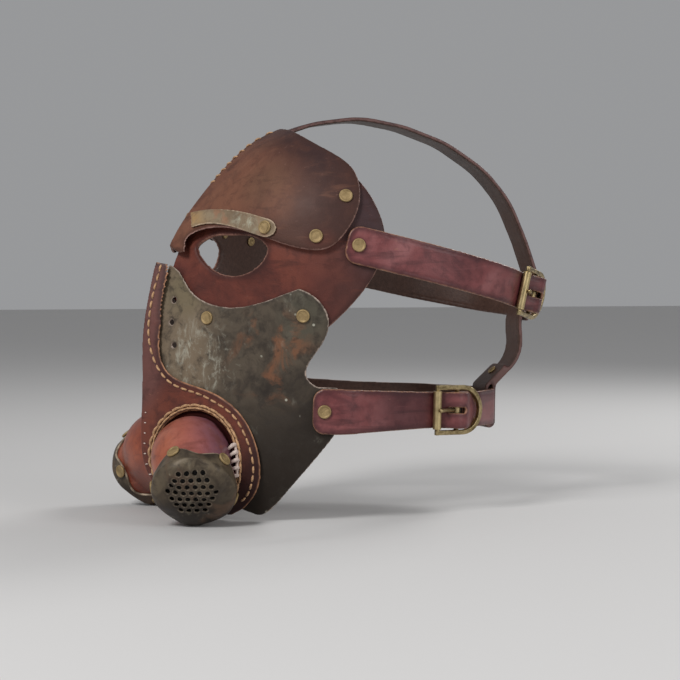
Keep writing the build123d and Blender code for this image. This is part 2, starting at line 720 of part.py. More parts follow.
with BuildPart() as lower_strap_right:
    add(anchored_strap(
        lower_buckle,
        mirrored(lower_front) + round_back(LOWER_AROUND, LOWER_BACK_Y, LOWER_BACK_BEND, lower_buckle),
        LOWER_STRAP_END_W, STRAP_CORNER,
    ))
    add(lower_taper, mode=Mode.INTERSECT)
    add(lower_hole.mirror(Plane.YZ), mode=Mode.SUBTRACT)
export(lower_strap_right.part, "lower_strap_right")


def buckle_frame(buckle):
    """Brass frame: square at the roller, a round bow at the other end, a bar across the middle."""
    inner = STRAP_W / 2 + FRAME_PLAY
    outer = inner + FRAME_BAND
    face = buckle.face()
    with BuildPart() as frame:
        with BuildSketch(face.offset(-FRAME_T / 2)):
            for half, mode in ((outer, Mode.ADD), (inner, Mode.SUBTRACT)):
                with BuildLine():
                    Line((BOW_CENTRE, -half), (-ROLLER_SET, -half))
                    Line((-ROLLER_SET, -half), (-ROLLER_SET, half))
                    Line((-ROLLER_SET, half), (BOW_CENTRE, half))
                    ThreePointArc((BOW_CENTRE, half), (BOW_CENTRE + half, 0), (BOW_CENTRE, -half))
                make_face(mode=mode)
        extrude(amount=FRAME_T)
        fillet(frame.edges().group_by(SortBy.LENGTH)[-1], FRAME_T * FRAME_ROUND)
        for u in (0, -ROLLER_SET):
            with BuildSketch(Plane(face.from_local_coords((u, 0, 0)), x_dir=face.x_dir, z_dir=face.y_dir)):
                Circle(BAR_R)
            extrude(amount=outer - FRAME_BAND / 2, both=True)
        with BuildSketch(Plane(face.from_local_coords((-ROLLER_SET, 0, 0)), x_dir=face.x_dir,
                               z_dir=face.y_dir)):
            Circle(FRAME_T / 2)
        extrude(amount=outer, both=True)
        with BuildSketch(Plane(face.from_local_coords((-ROLLER_SET, 0, 0)), x_dir=face.x_dir,
                               z_dir=face.y_dir)):
            Circle(FRAME_T)
            Circle(BAR_R, mode=Mode.SUBTRACT)
        extrude(amount=inner, both=True, mode=Mode.SUBTRACT)
    return frame.part


def buckle_roller(buckle):
    """Tube that turns on the frame's end bar."""
    face = buckle.face()
    with BuildPart() as roller:
        with BuildSketch(Plane(face.from_local_coords((-ROLLER_SET, 0, 0)), x_dir=face.x_dir,
                               z_dir=face.y_dir)):
            Circle(ROLLER_R)
            Circle(BAR_R + ROLLER_FIT, mode=Mode.SUBTRACT)
        extrude(amount=STRAP_W / 2 + FRAME_PLAY / 2, both=True)
    return roller.part


def buckle_tongue(buckle):
    """Round tongue with an eye on the middle bar, its tip on the roller."""
    section = buckle.section()
    with BuildPart() as tongue:
        with BuildSketch(section):
            Circle(TONGUE_EYE_R)
        extrude(amount=TONGUE_W / 2, both=True)
        run = Vector(-cos(tongue_rise), sin(tongue_rise))
        start = section.from_local_coords(run * (BAR_R + TONGUE_ROOT))
        tip = section.from_local_coords(run * (ROLLER_SET + TONGUE_OVERHANG))
        with BuildSketch(Plane(start, x_dir=section.z_dir, z_dir=tip - start)):
            Circle(TONGUE_R)
        extrude(amount=(tip - start).length)
        tip_edge = tongue.edges().filter_by(GeomType.CIRCLE).sort_by_distance(tip)[0]
        fillet(tip_edge, TONGUE_R * TONGUE_TIP_ROUND)
        with BuildSketch(section):
            Circle(BAR_R + ROLLER_FIT)
        extrude(amount=TONGUE_W, both=True, mode=Mode.SUBTRACT)
    return tongue.part


for buckle, name in ((upper_buckle, "upper"), (lower_buckle, "lower")):
    export(buckle_frame(buckle), f"{name}_buckle_frame")
    export(buckle_roller(buckle), f"{name}_buckle_roller")
    export(buckle_tongue(buckle), f"{name}_buckle_tongue")
    hinge = buckle.section()
    end_bar = hinge.from_local_coords((-ROLLER_SET, 0, 0))
    print(name, "tongue hinge", tuple(hinge.origin), "roller", tuple(end_bar), "axis", tuple(hinge.z_dir))


def side_strap(path, width=STRAP_W):
    """Strap on the mid-plane, drawn in y and z."""
    with BuildPart() as strap:
        with BuildSketch(Plane.YZ.offset(-width / 2)):
            with BuildLine() as route:
                FilletPolyline(*[point for point, _ in path], radius=[bend for _, bend in path[1:-1]])
            trace(route.line, line_width=STRAP_T)
        extrude(amount=width)
        for point in (path[0][0], path[-1][0]):
            end = strap.faces().sort_by_distance(Vector(0, *point))[0]
            fillet(end.edges().filter_by(lambda edge: abs(edge.length - STRAP_T) < 0.01), CROWN_CORNER)
    return strap.part


# Crown strap: from under the brow peak to the outside of the upper strap
crown_path = [(point, CROWN_BEND) for point in CROWN_ROUTE]
crown_path[0] = (CROWN_ROUTE[0], 0)
with BuildPart() as crown_strap:
    add(side_strap(crown_path + [
        (CROWN_BACK, CROWN_BACK_BEND),
        (mid_point(upper_plane, UPPER_BACK_Y + step, CROWN_TURN_UP), CROWN_TURN_BEND),
        (mid_point(upper_plane, UPPER_BACK_Y + step, CROWN_END), 0),
    ]))
    for hole in back_holes:
        add(hole, mode=Mode.SUBTRACT)
export(crown_strap.part, "crown_strap")

# Nape strap: from the inside of the upper strap down to a riveted loop round the lower strap
loop_head = Vector(*mid_point(lower_plane, LOWER_BACK_Y + step, STRAP_W / 2 + LOOP_HEAD))
climb_dir = (Vector(*NAPE_KNEE) - loop_head).normalized()
inward = Vector(-climb_dir.Y, climb_dir.X)
loop_in = Vector(*mid_point(lower_plane, LOWER_BACK_Y - step, STRAP_W / 2 + LOOP_SHOULDER))
tail_end = loop_head + inward * step + climb_dir * NAPE_TAIL
nape_spot = loop_head + climb_dir * (NAPE_TAIL - NAPE_RIVET_SET) - inward * half_t
nape_seat = Plane((0, nape_spot.X, nape_spot.Y), x_dir=(1, 0, 0), z_dir=(0, -inward.X, -inward.Y))
nape_hole = drill(nape_seat, hole_r, PLATE_CUT)
with BuildPart() as nape_strap:
    add(side_strap([
        (mid_point(upper_plane, UPPER_BACK_Y - step, NAPE_TOP), 0),
        (mid_point(upper_plane, UPPER_BACK_Y - step, NAPE_TURN), NAPE_TURN_BEND),
        (NAPE_KNEE, NAPE_KNEE_BEND),
        (tuple(loop_head)[:2], LOOP_BEND),
        (mid_point(lower_plane, LOWER_BACK_Y + step, -STRAP_W / 2 - LOOP_FOOT), step),
        (mid_point(lower_plane, LOWER_BACK_Y - step, -STRAP_W / 2 - LOOP_FOOT), step - LOOP_EASE),
        (tuple(loop_in)[:2], LOOP_BEND),
        (tuple(tail_end)[:2], 0),
    ]))
    for hole in back_holes:
        add(hole, mode=Mode.SUBTRACT)
    add(nape_hole, mode=Mode.SUBTRACT)
export(nape_strap.part, "nape_strap")


def rivet_set(fastenings, name, both_sides=True):
    """Write one kind of rivet, each at its seat with its grip."""
    with BuildPart() as rivets:
        for place, grip in fastenings:
            fastener = rivet(place, grip)
            add(fastener)
            if both_sides:
                add(fastener.mirror(Plane.YZ))
    export(rivets.part, name)


def clinch(places, surface):
    """Seats with their grips down to the inside of a form."""
    return [(place, depth_to(place, surface) + RIVET_SEAT) for place in places]


rivet_set(clinch(brow_seats, base_inner), "brow_rivets")
rivet_set(clinch([strip_seat], base_inner), "brow_strip_rivets")
rivet_set(clinch(cheek_seats, base_inner), "cheek_rivets")
rivet_set(clinch([upper_seat], base_inner) + clinch([lower_seat], plate_inner), "strap_rivets")
rivet_set([(place, 2 * step + STRAP_T + STRAP_PLAY) for place in back_seats]
          + [(nape_seat, step + STRAP_T + STRAP_PLAY)], "harness_rivets", both_sides=False)
cap_grip = CAP_T + CAP_FIT + CUP_T + RIVET_SEAT
with BuildPart() as cap_rivets:
    for place in cap_seats:
        add(rivet(place, cap_grip))
export_pair(cap_rivets.part, "cap_rivets")
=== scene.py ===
import bpy
import math
import numpy
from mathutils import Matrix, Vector, noise
from mathutils.bvhtree import BVHTree
from mathutils.kdtree import KDTree


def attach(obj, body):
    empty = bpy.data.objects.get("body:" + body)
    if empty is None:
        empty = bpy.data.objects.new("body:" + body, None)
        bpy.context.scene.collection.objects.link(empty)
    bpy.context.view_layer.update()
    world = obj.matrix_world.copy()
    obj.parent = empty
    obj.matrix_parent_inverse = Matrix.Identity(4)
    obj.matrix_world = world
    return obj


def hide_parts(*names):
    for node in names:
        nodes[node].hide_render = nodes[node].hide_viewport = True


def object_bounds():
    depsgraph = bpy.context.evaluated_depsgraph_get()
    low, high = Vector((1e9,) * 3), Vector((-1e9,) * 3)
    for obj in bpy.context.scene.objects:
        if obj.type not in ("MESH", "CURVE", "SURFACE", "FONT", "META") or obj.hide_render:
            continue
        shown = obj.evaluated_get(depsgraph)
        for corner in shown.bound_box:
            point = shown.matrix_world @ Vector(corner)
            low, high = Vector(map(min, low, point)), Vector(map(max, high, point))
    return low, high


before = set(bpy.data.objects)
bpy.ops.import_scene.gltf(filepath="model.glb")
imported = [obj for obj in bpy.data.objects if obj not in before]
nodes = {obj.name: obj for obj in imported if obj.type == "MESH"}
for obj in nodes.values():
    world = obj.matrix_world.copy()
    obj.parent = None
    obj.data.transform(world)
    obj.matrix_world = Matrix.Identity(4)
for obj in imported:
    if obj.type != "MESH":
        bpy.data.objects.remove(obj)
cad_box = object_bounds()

# Shapes are in millimetres, taken to Blender's metres by MM. Material zones and lamps are in metres.
MM = 0.001
mirror = Vector((-1, 1, 1))

# The left cup's foot: its centre, and the way out of its hole in the muzzle
CUP_CENTRE = Vector((26, -96, -108)) * MM
CUP_WAY = Vector((0.70, -0.71, -0.03)).normalized()
# The left cap's rim: its centre and way out
CAP_PLACE = Vector((53.5, -102.7, -118.8)) * MM
CAP_WAY = Vector((0.79, -0.30, -0.53)).normalized()


def climb(value, start, end):
    """0 up to the start, 1 from the end on, straight between."""
    return min(max((value - start) / (end - start), 0.0), 1.0)


# ---------------------------------------------------------------- materials
ZONE_DRIFT = 0.014
COAT_ROUGH = 0.28
LEATHER_GLOSS = 0.32
PATINA_GLOSS = 0.22
PATINA_LINING = (0.06, 0.036, 0.026)
REAR = (0, 1, 0)
DOWN = (0, 0, -1)


def shade(colour, share):
    return tuple(min(c * share, 1) for c in colour)


class Look:
    """Short calls for building one material's nodes."""

    def __init__(self, name):
        self.mat = bpy.data.materials.new(name)
        self.mat.use_nodes = True
        self.tree = self.mat.node_tree
        self.bsdf = self.tree.nodes["Principled BSDF"]
        self.coord = self.add("ShaderNodeTexCoord").outputs["Object"]

    def add(self, kind, **values):
        node = self.tree.nodes.new(kind)
        for key, value in values.items():
            setattr(node, key, value)
        return node

    def link(self, a, b):
        self.tree.links.new(a, b)

    def stretch(self, scale, turn=(0, 0, 0)):
        node = self.add("ShaderNodeMapping")
        node.inputs["Scale"].default_value = scale
        node.inputs["Rotation"].default_value = turn
        self.link(self.coord, node.inputs["Vector"])
        return node.outputs["Vector"]

    def noise(self, scale, detail=4, rough=0.55, warp=0.0, vector=None):
        node = self.add("ShaderNodeTexNoise")
        node.inputs["Scale"].default_value = scale
        node.inputs["Detail"].default_value = detail
        node.inputs["Roughness"].default_value = rough
        node.inputs["Distortion"].default_value = warp
        self.link(vector or self.coord, node.inputs["Vector"])
        return node.outputs["Fac"]

    def cells(self, scale):
        node = self.add("ShaderNodeTexVoronoi")
        node.inputs["Scale"].default_value = scale
        self.link(self.coord, node.inputs["Vector"])
        return node.outputs["Distance"]

    def ramp(self, value, stops):
        node = self.add("ShaderNodeValToRGB")
        elements = node.color_ramp.elements
        while len(elements) < len(stops):
            elements.new(0.5)
        for element, (place, colour) in zip(elements, stops):
            element.position = place
            element.color = (*colour, 1)
        self.link(value, node.inputs["Fac"])
        return node.outputs["Color"]

    def step(self, value, low, high):
        """0 at the low value and 1 at the high one, eased. Low may be the larger of the two."""
        node = self.add("ShaderNodeMapRange", interpolation_type="SMOOTHSTEP")
        node.inputs["From Min"].default_value = low
        node.inputs["From Max"].default_value = high
        self.link(value, node.inputs["Value"])
        return node.outputs["Result"]

    def between(self, value, low, high):
        """Takes a value of 0 to 1 to a range."""
        node = self.add("ShaderNodeMapRange")
        node.inputs["To Min"].default_value = low
        node.inputs["To Max"].default_value = high
        self.link(value, node.inputs["Value"])
        return node.outputs["Result"]

    def math(self, operation, a, b):
        node = self.add("ShaderNodeMath", operation=operation)
        for i, value in enumerate((a, b)):
            if isinstance(value, (int, float)):
                node.inputs[i].default_value = value
            else:
                self.link(value, node.inputs[i])
        return node.outputs[0]

    def share(self, mask, amount):
        return self.math("MULTIPLY", mask, amount)

    def rest(self, mask):
        return self.math("SUBTRACT", 1.0, mask)

    def mix(self, mask, colour, other):
        node = self.add("ShaderNodeMix", data_type="RGBA")
        self.link(mask, node.inputs[0])
        self.link(colour, node.inputs[6])
        if isinstance(other, tuple):
            node.inputs[7].default_value = (*other, 1)
        else:
            self.link(other, node.inputs[7])
        return node.outputs[2]

    def over(self, colour, mask, amount, other):
        """Another colour laid over this one, where and as far as a mask and an amount say."""
        return self.mix(self.share(mask, amount), colour, other)

    def edges(self, low, high):
        node = self.add("ShaderNodeNewGeometry")
        return self.step(node.outputs["Pointiness"], low, high)

    def stored(self, name):
        return self.add("ShaderNodeAttribute", attribute_name=name).outputs["Fac"]

    def rim(self, far, close):
        """1 by a sheet's cut edge and 0 away from it, both in metres."""
        return self.step(self.stored("rim"), far, close)

    def worn(self, value, low, high, least):
        """Strength of a worn line: the least where the value is low, and 1 more where it is high."""
        return self.math("ADD", self.step(value, low, high), least)

    def folded(self):
        """Place with the wearer's right side laid over the left."""
        parts = self.add("ShaderNodeSeparateXYZ")
        self.link(self.coord, parts.inputs[0])
        whole = self.add("ShaderNodeCombineXYZ")
        self.link(self.math("ABSOLUTE", parts.outputs["X"], 0.0), whole.inputs["X"])
        self.link(parts.outputs["Y"], whole.inputs["Y"])
        self.link(parts.outputs["Z"], whole.inputs["Z"])
        return whole.outputs[0]

    def measured(self, operation, vector, low, high):
        node = self.add("ShaderNodeVectorMath", operation=operation)
        self.link(self.folded(), node.inputs[0])
        node.inputs[1].default_value = vector
        drift = self.share(self.math("SUBTRACT", self.noise(45, 3), 0.5), ZONE_DRIFT)
        return self.step(self.math("ADD", node.outputs["Value"], drift), low, high)

    def along(self, direction, low, high):
        """0 to 1 from one level of a direction to another, both in metres."""
        return self.measured("DOT_PRODUCT", direction, low, high)

    def near(self, point, inner, outer):
        """1 within one distance of a point, 0 beyond another."""
        return self.measured("DISTANCE", point, outer, inner)

    def zoned(self, colour, zones):
        """Zones are along or near, then that call's three values, the strength and the colour."""
        for kind, place, first, second, amount, other in zones:
            place_mask = self.along if kind == "along" else self.near
            colour = self.over(colour, place_mask(place, first, second), amount, other)
        return colour

    def bump(self, layers):
        """Layers of relief: height, strength and distance in metres."""
        last = None
        for height, strength, distance in layers:
            node = self.add("ShaderNodeBump")
            node.inputs["Strength"].default_value = strength
            node.inputs["Distance"].default_value = distance
            self.link(height, node.inputs["Height"])
            if last:
                self.link(last, node.inputs["Normal"])
            last = node.outputs["Normal"]
        self.link(last, self.bsdf.inputs["Normal"])

    def finish(self, colour, rough, metallic=0.0, coat=0.0, sheen=0.0, gloss=0.5):
        self.link(colour, self.bsdf.inputs["Base Color"])
        self.link(rough, self.bsdf.inputs["Roughness"])
        self.bsdf.inputs["Metallic"].default_value = metallic
        self.bsdf.inputs["Coat Weight"].default_value = coat
        self.bsdf.inputs["Coat Roughness"].default_value = COAT_ROUGH
        self.bsdf.inputs["Specular IOR Level"].default_value = gloss
        self.bsdf.inputs["Sheen Weight"].default_value = sheen
        return self.mat


def leather(name, dark, mid, light, edge, zones=(), streaks=(1, 0.35, 2.6), rough=(0.46, 0.68), coat=0.05,
            root=None, lining=(0.090, 0.045, 0.032)):
    """Burnished, hand-dyed leather: cloudy dye, streaks, pores, scuffs, pale cut edges."""
    look = Look(name)
    # Cloudy dye, then colour by place on the mask: some its own, some painted light and shade
    colour = look.ramp(look.noise(24, 5, 0.55, 0.8), ((0.34, dark), (0.50, mid), (0.68, light)))
    colour = look.zoned(colour, zones)
    # Mottling, dark and pale streaks, scuffs
    mottle = look.noise(150, 6, 0.62, 0.3)
    colour = look.over(colour, look.step(mottle, 0.56, 0.32), 0.50, dark)
    streak = look.noise(75, 5, 0.6, 0.5, look.stretch(streaks))
    colour = look.over(colour, look.step(streak, 0.55, 0.72), 0.45, shade(dark, 0.5))
    colour = look.over(colour, look.step(streak, 0.42, 0.26), 0.40, light)
    scuff = look.noise(420, 3, 0.7, 0.0, look.stretch((1, 0.5, 1.6), (0.4, 0, 0)))
    colour = look.over(colour, look.step(scuff, 0.66, 0.76), 0.30, edge)
    # Dark band inside each edge, and the worn pale line on it
    colour = look.over(colour, look.rim(0.0042, 0.0008), 0.60, shade(dark, 0.6))
    line = look.math("MAXIMUM", look.share(look.rim(0.0011, 0.0003), 0.62), look.stored("cut"))
    worn = look.worn(look.noise(210, 4), 0.30, 0.62, 0.35)
    colour = look.over(colour, line, worn, edge)
    # Flesh side
    flesh = look.ramp(look.noise(500, 5, 0.7), ((0.3, shade(lining, 0.55)), (0.7, lining)))
    colour = look.mix(look.stored("inner"), colour, flesh)
    if root:
        # Painted shadow on the cup's foot, deep in its hole, where the gloss is dulled too
        foot_shadow = look.along(*root)
        colour = look.over(colour, foot_shadow, 0.94, shade(dark, 0.12))
        look.link(look.share(look.rest(foot_shadow), LEATHER_GLOSS), look.bsdf.inputs["Specular IOR Level"])
        look.link(look.share(look.rest(foot_shadow), coat), look.bsdf.inputs["Coat Weight"])
    look.bump(((look.noise(70, 5, 0.6), 0.28, 0.0006), (look.cells(1150), 0.22, 0.0002),
               (streak, 0.15, 0.0003), (look.noise(2400, 3), 0.15, 0.0001)))
    return look.finish(colour, look.between(mottle, *rough), coat=coat, gloss=LEATHER_GLOSS)


def patina(name, base, copper, pale, dark, edge, zones=(), runs_zone=None, copper_zone=None, dull_rims=None,
           metal=0.0, rough=(0.50, 0.76)):
    """Weathered panel: copper patches, pale verdigris runs and flecks, dark worn hollows."""
    look = Look(name)
    colour = look.ramp(look.noise(38, 6, 0.62, 0.5), ((0.32, dark), (0.50, base), (0.74, base)))
    # Colour by place: some its own, some painted shade
    colour = look.zoned(colour, zones)
    # Copper patches, in one place or all over
    patches = look.share(look.step(look.noise(46, 5, 0.58, 0.9), 0.50, 0.62), 0.85)
    copper_here = look.near(*copper_zone) if copper_zone else 0.75
    colour = look.over(colour, patches, copper_here, copper)
    grime = look.noise(160, 6, 0.66, 0.4)
    colour = look.over(colour, look.step(grime, 0.54, 0.32), 0.70, dark)
    # Pale runs and blotches, strongest in their zone, and pale flecks
    runs = look.noise(120, 8, 0.72, 0.5, look.stretch((1.0, 1.0, 0.48)))
    blotches = look.share(look.step(look.noise(190, 7, 0.70, 0.4), 0.52, 0.68), 0.7)
    weathering = look.share(look.math("MAXIMUM", look.step(runs, 0.50, 0.66), blotches), 0.72)
    where = look.step(look.noise(60, 3), 0.55, 0.66)
    if runs_zone:
        where = look.math("MAXIMUM", look.share(where, 0.22), look.near(*runs_zone))
    colour = look.over(colour, weathering, where, pale)
    flecks = look.share(look.step(look.cells(170), 0.16, 0.07), look.step(look.noise(55, 2), 0.55, 0.62))
    colour = look.over(colour, flecks, 0.8, pale)
    # Dark band inside each edge, and the worn pale line on it
    colour = look.over(colour, look.rim(0.0030, 0.0004), 0.35, dark)
    cut_face = look.share(look.stored("cut"), 0.9)
    line = look.math("MAXIMUM", look.share(look.rim(0.0010, 0.0003), 0.75), cut_face)
    if dull_rims:
        line = look.share(line, look.rest(look.share(look.along(*dull_rims), 0.78)))
    worn = look.worn(look.noise(180, 3), 0.34, 0.60, 0.25)
    colour = look.over(colour, line, worn, edge)
    # Dark hollows, and the plain inner side
    colour = look.over(colour, look.edges(0.47, 0.42), 0.8, shade(dark, 0.3))
    colour = look.over(colour, look.stored("inner"), 0.97, PATINA_LINING)
    look.bump(((look.noise(95, 6, 0.62), 0.40, 0.0006), (runs, 0.30, 0.00025), (grime, 0.25, 0.0003),
               (look.noise(1500, 4), 0.22, 0.00012)))
    return look.finish(colour, look.between(grime, *rough), metallic=metal, coat=0.02, gloss=PATINA_GLOSS)


def brass(name, bright, dull, rough, metal):
    """Aged brass: tarnish in the hollows, rubbed bright on the edges, fine scratches."""
    look = Look(name)
    tarnish = look.noise(260, 6, 0.65, 0.5)
    colour = look.ramp(tarnish, ((0.36, dull), (0.60, bright), (0.8, bright)))
    colour = look.over(colour, look.edges(0.47, 0.40), 0.85, shade(dull, 0.30))
    colour = look.over(colour, look.edges(0.53, 0.60), 0.60, shade(bright, 1.35))
    scratch = look.noise(900, 3, 0.6, 0, look.stretch((4, 0.5, 1), (0.3, 0.7, 0.2)))
    look.bump(((look.noise(500, 4), 0.25, 0.00015), (scratch, 0.12, 0.00005)))
    return look.finish(colour, look.between(tarnish, *rough), metallic=metal)


def thread(name, light, dark):
    """Waxed thread with a twist."""
    look = Look(name)
    colour = look.ramp(look.noise(700, 4, 0.6), ((0.3, dark), (0.6, light)))
    rough = look.step(look.noise(900, 2), -0.8, 1.4)
    twist = look.noise(2600, 2, 0.5, 0, look.stretch((1, 1, 3), (0.5, 0.5, 0)))
    look.bump(((twist, 0.5, 0.0002),))
    return look.finish(colour, rough, sheen=0.1)


cup_level = CUP_CENTRE.dot(CUP_WAY)
cap_level = CAP_PLACE.dot(CAP_WAY)

base_mat = leather(
    "base_leather", dark=(0.050, 0.011, 0.008), mid=(0.120, 0.027, 0.017), light=(0.180, 0.046, 0.026),
    edge=(0.30, 0.15, 0.11), zones=(
        # Painted shade: darker to the rear, darkest under the upper strap's end
        ("along", REAR, -0.055, -0.018, 0.75, (0.068, 0.024, 0.020)),
        ("near", (0.078, 0.0, 0.018), 0.018, 0.040, 0.80, (0.034, 0.018, 0.022))))

brow_mat = leather(
    "brow_leather", dark=(0.075, 0.026, 0.016), mid=(0.150, 0.056, 0.032), light=(0.200, 0.084, 0.048),
    edge=(0.32, 0.18, 0.15), rough=(0.52, 0.72), coat=0.02, zones=(
        # Lighter over the eye, redder at the top
        ("near", (0.030, -0.085, 0.034), 0.006, 0.034, 0.55, (0.185, 0.074, 0.040)),
        ("near", (0.045, -0.062, 0.040), 0.004, 0.022, 0.50, (0.135, 0.070, 0.040)),
        ("near", (0.0, -0.035, 0.076), 0.004, 0.034, 0.60, (0.160, 0.042, 0.025)),
        # Painted shade to the rear and along the lower edge; redder by the lower rivet
        ("along", (0, 0.97, 0.22), -0.054, -0.022, 0.92, (0.030, 0.011, 0.011)),
        ("along", (0, 0.67, -0.74), -0.066, -0.046, 0.80, (0.048, 0.017, 0.012)),
        ("near", (0.074, -0.040, 0.004), 0.004, 0.014, 0.70, (0.095, 0.024, 0.015))))

muzzle_mat = leather(
    "muzzle_leather", dark=(0.040, 0.010, 0.009), mid=(0.080, 0.021, 0.018), light=(0.135, 0.040, 0.031),
    edge=(0.46, 0.22, 0.11), zones=(
        # Painted highlight on the ridge, red round the cup, painted shade low at the rear
        ("along", (0.55, 0.83, 0), -0.080, -0.092, 0.75, (0.150, 0.060, 0.050)),
        ("near", tuple(CUP_CENTRE + Vector((0, 0, 0.008))), 0.029, 0.045, 0.75, (0.160, 0.036, 0.017)),
        ("along", (0, 0.8, -0.6), -0.010, 0.012, 0.85, (0.026, 0.010, 0.009))))

cup_mat = leather(
    "cup_leather", dark=(0.150, 0.032, 0.020), mid=(0.330, 0.082, 0.038), light=(0.420, 0.135, 0.075),
    edge=(0.50, 0.26, 0.18), rough=(0.30, 0.50), coat=0.18, lining=(0.018, 0.010, 0.008),
    # The root: painted shadow on the cup's foot, deep in the muzzle's hole
    root=(tuple(CUP_WAY), cup_level + 0.0035, cup_level + 0.0010), zones=(
        # From orange at the front over rose to plum at the rear; painted shade below
        ("along", (0.15, 0.95, 0.10), -0.114, -0.100, 0.75, (0.340, 0.105, 0.088)),
        ("along", (0.15, 0.95, 0.10), -0.104, -0.086, 0.92, (0.180, 0.078, 0.110)),
        ("along", (0.1, 0.1, -1), 0.108, 0.128, 0.75, (0.110, 0.026, 0.018))))

strap_mat = leather(
    "strap_leather", dark=(0.050, 0.009, 0.013), mid=(0.185, 0.048, 0.049), light=(0.260, 0.094, 0.095),
    edge=(0.34, 0.17, 0.10), streaks=(0.25, 0.25, 3.2), rough=(0.32, 0.54), coat=0.14, zones=(
        # Painted shadow by the upper buckle, and between the lower strap's rivet and buckle
        ("near", (0.045, 0.083, -0.010), 0.008, 0.026, 0.65, (0.070, 0.018, 0.022)),
        ("near", (0.060, 0.018, -0.079), 0.012, 0.034, 0.70, (0.060, 0.015, 0.018))))

harness_mat = leather(
    "harness_leather", dark=(0.034, 0.014, 0.015), mid=(0.075, 0.034, 0.033), light=(0.120, 0.060, 0.057),
    edge=(0.135, 0.068, 0.060), streaks=(3.0, 0.4, 0.4), rough=(0.40, 0.60))

plate_mat = patina(
    "plate_leather", base=(0.090, 0.070, 0.050), copper=(0.190, 0.080, 0.040), pale=(0.44, 0.43, 0.35),
    dark=(0.030, 0.023, 0.018), edge=(0.46, 0.36, 0.30), zones=(
        # Tan towards the front and its top corner, painted shade nearly black below, green-grey by the rear
        # rivet
        ("along", (0.30, 0.95, 0), -0.064, -0.086, 0.85, (0.200, 0.150, 0.100)),
        ("near", (0.018, -0.104, -0.014), 0.008, 0.022, 0.60, (0.150, 0.122, 0.068)),
        ("along", (0, 0.42, -0.91), 0.022, 0.068, 0.95, (0.020, 0.014, 0.010)),
        ("near", (0.068, -0.047, -0.030), 0.006, 0.020, 0.50, (0.074, 0.074, 0.054))),
    runs_zone=((0.028, -0.095, -0.056), 0.012, 0.028),
    copper_zone=((0.058, -0.066, -0.052), 0.010, 0.034))

strip_mat = patina(
    "strip_leather", base=(0.260, 0.200, 0.130), copper=(0.320, 0.150, 0.085), pale=(0.44, 0.44, 0.34),
    dark=(0.150, 0.100, 0.062), edge=(0.50, 0.38, 0.27), zones=(
        # Ochre at the front end
        ("along", REAR, -0.084, -0.093, 0.80, (0.38, 0.225, 0.090)),),
    runs_zone=((0.048, -0.074, 0.020), 0.004, 0.014))

cap_mat = patina(
    "cap_metal", base=(0.135, 0.104, 0.068), copper=(0.130, 0.078, 0.050), pale=(0.30, 0.27, 0.20),
    dark=(0.030, 0.022, 0.017), edge=(0.46, 0.37, 0.27), metal=0.2, rough=(0.34, 0.58),
    dull_rims=(tuple(CAP_WAY), cap_level + 0.0055, cap_level + 0.0070), zones=(
        # Darker on the crown, and painted shade below
        ("along", tuple(CAP_WAY), cap_level + 0.0040, cap_level + 0.0140, 0.45, (0.070, 0.054, 0.040)),
        ("along", DOWN, 0.118, 0.134, 0.85, (0.026, 0.020, 0.017))))

brass_mat = brass("aged_brass", bright=(0.46, 0.36, 0.19), dull=(0.16, 0.115, 0.05),
                  rough=(0.24, 0.46), metal=0.9)
rivet_mat = brass("rivet_brass", bright=(0.36, 0.255, 0.12), dull=(0.22, 0.15, 0.065),
                  rough=(0.48, 0.66), metal=0.5)
thread_mat = thread("tan_thread", light=(0.58, 0.34, 0.17), dark=(0.25, 0.13, 0.065))
pale_mat = thread("pale_thread", light=(0.74, 0.62, 0.55), dark=(0.44, 0.33, 0.28))
# Painted shade inside the stitch holes
hole_shade_mat = thread("stitch_hole", light=(0.020, 0.010, 0.008), dark=(0.008, 0.004, 0.003))
gauze_mat = thread("filter_gauze", light=(0.020, 0.017, 0.015), dark=(0.006, 0.005, 0.004))


# ---------------------------------------------------------------- meshes
def plain_object(name, points, faces):
    mesh = bpy.data.meshes.new(name)
    mesh.from_pydata(points, [], faces)
    mesh.update()
    piece = bpy.data.objects.new(name, mesh)
    bpy.context.scene.collection.objects.link(piece)
    return piece


def node_copy(node, ending):
    """New piece with a copy of a CAD node's mesh."""
    piece = bpy.data.objects.new(node + ending, nodes[node].data.copy())
    bpy.context.scene.collection.objects.link(piece)
    return piece


def dropped(piece):
    """Takes a finished cutter out of the file."""
    mesh = piece.data
    bpy.data.objects.remove(piece)
    bpy.data.meshes.remove(mesh)


def punch(piece, cutter):
    cut = piece.modifiers.new("cut", "BOOLEAN")
    cut.operation = "DIFFERENCE"
    cut.object = cutter
    cut.solver = "EXACT"


def soften(piece, rounds):
    soft = piece.modifiers.new("soft", "SMOOTH")
    soft.factor = 0.5
    soft.iterations = rounds


def remesh(piece, voxel, rounds):
    """Small even faces, with the edges then rounded."""
    grid = piece.modifiers.new("grid", "REMESH")
    grid.mode = "VOXEL"
    grid.voxel_size = voxel * MM
    soften(piece, rounds)


def frozen(piece):
    """Gives the piece its modifiers' result as its own mesh."""
    made = bpy.data.meshes.new_from_object(piece.evaluated_get(bpy.context.evaluated_depsgraph_get()))
    piece.modifiers.clear()
    piece.data = made
    return made


def shade_smooth(mesh):
    mesh.polygons.foreach_set("use_smooth", [True] * len(mesh.polygons))


def lifted(mesh, lifts):
    """Moves each point out along its normal by its own lift in millimetres."""
    moved = []
    for v, lift in zip(mesh.vertices, lifts):
        moved.extend(v.co + v.normal * lift * MM)
    mesh.vertices.foreach_set("co", moved)
    mesh.update()
    shade_smooth(mesh)


def stand_in(piece, node, material):
    """Puts a finished piece in its CAD node's place."""
    piece.data.materials.clear()
    piece.data.materials.append(material)
    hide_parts(node)
    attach(piece, "mask")


def square_to(way):
    """Two directions square to a way and to each other."""
    x = way.orthogonal().normalized()
    return x, way.cross(x)


def round_way(x, y, angle):
    """Step from a circle's centre to its rim, at an angle from x towards y."""
    return x * math.cos(angle) + y * math.sin(angle)


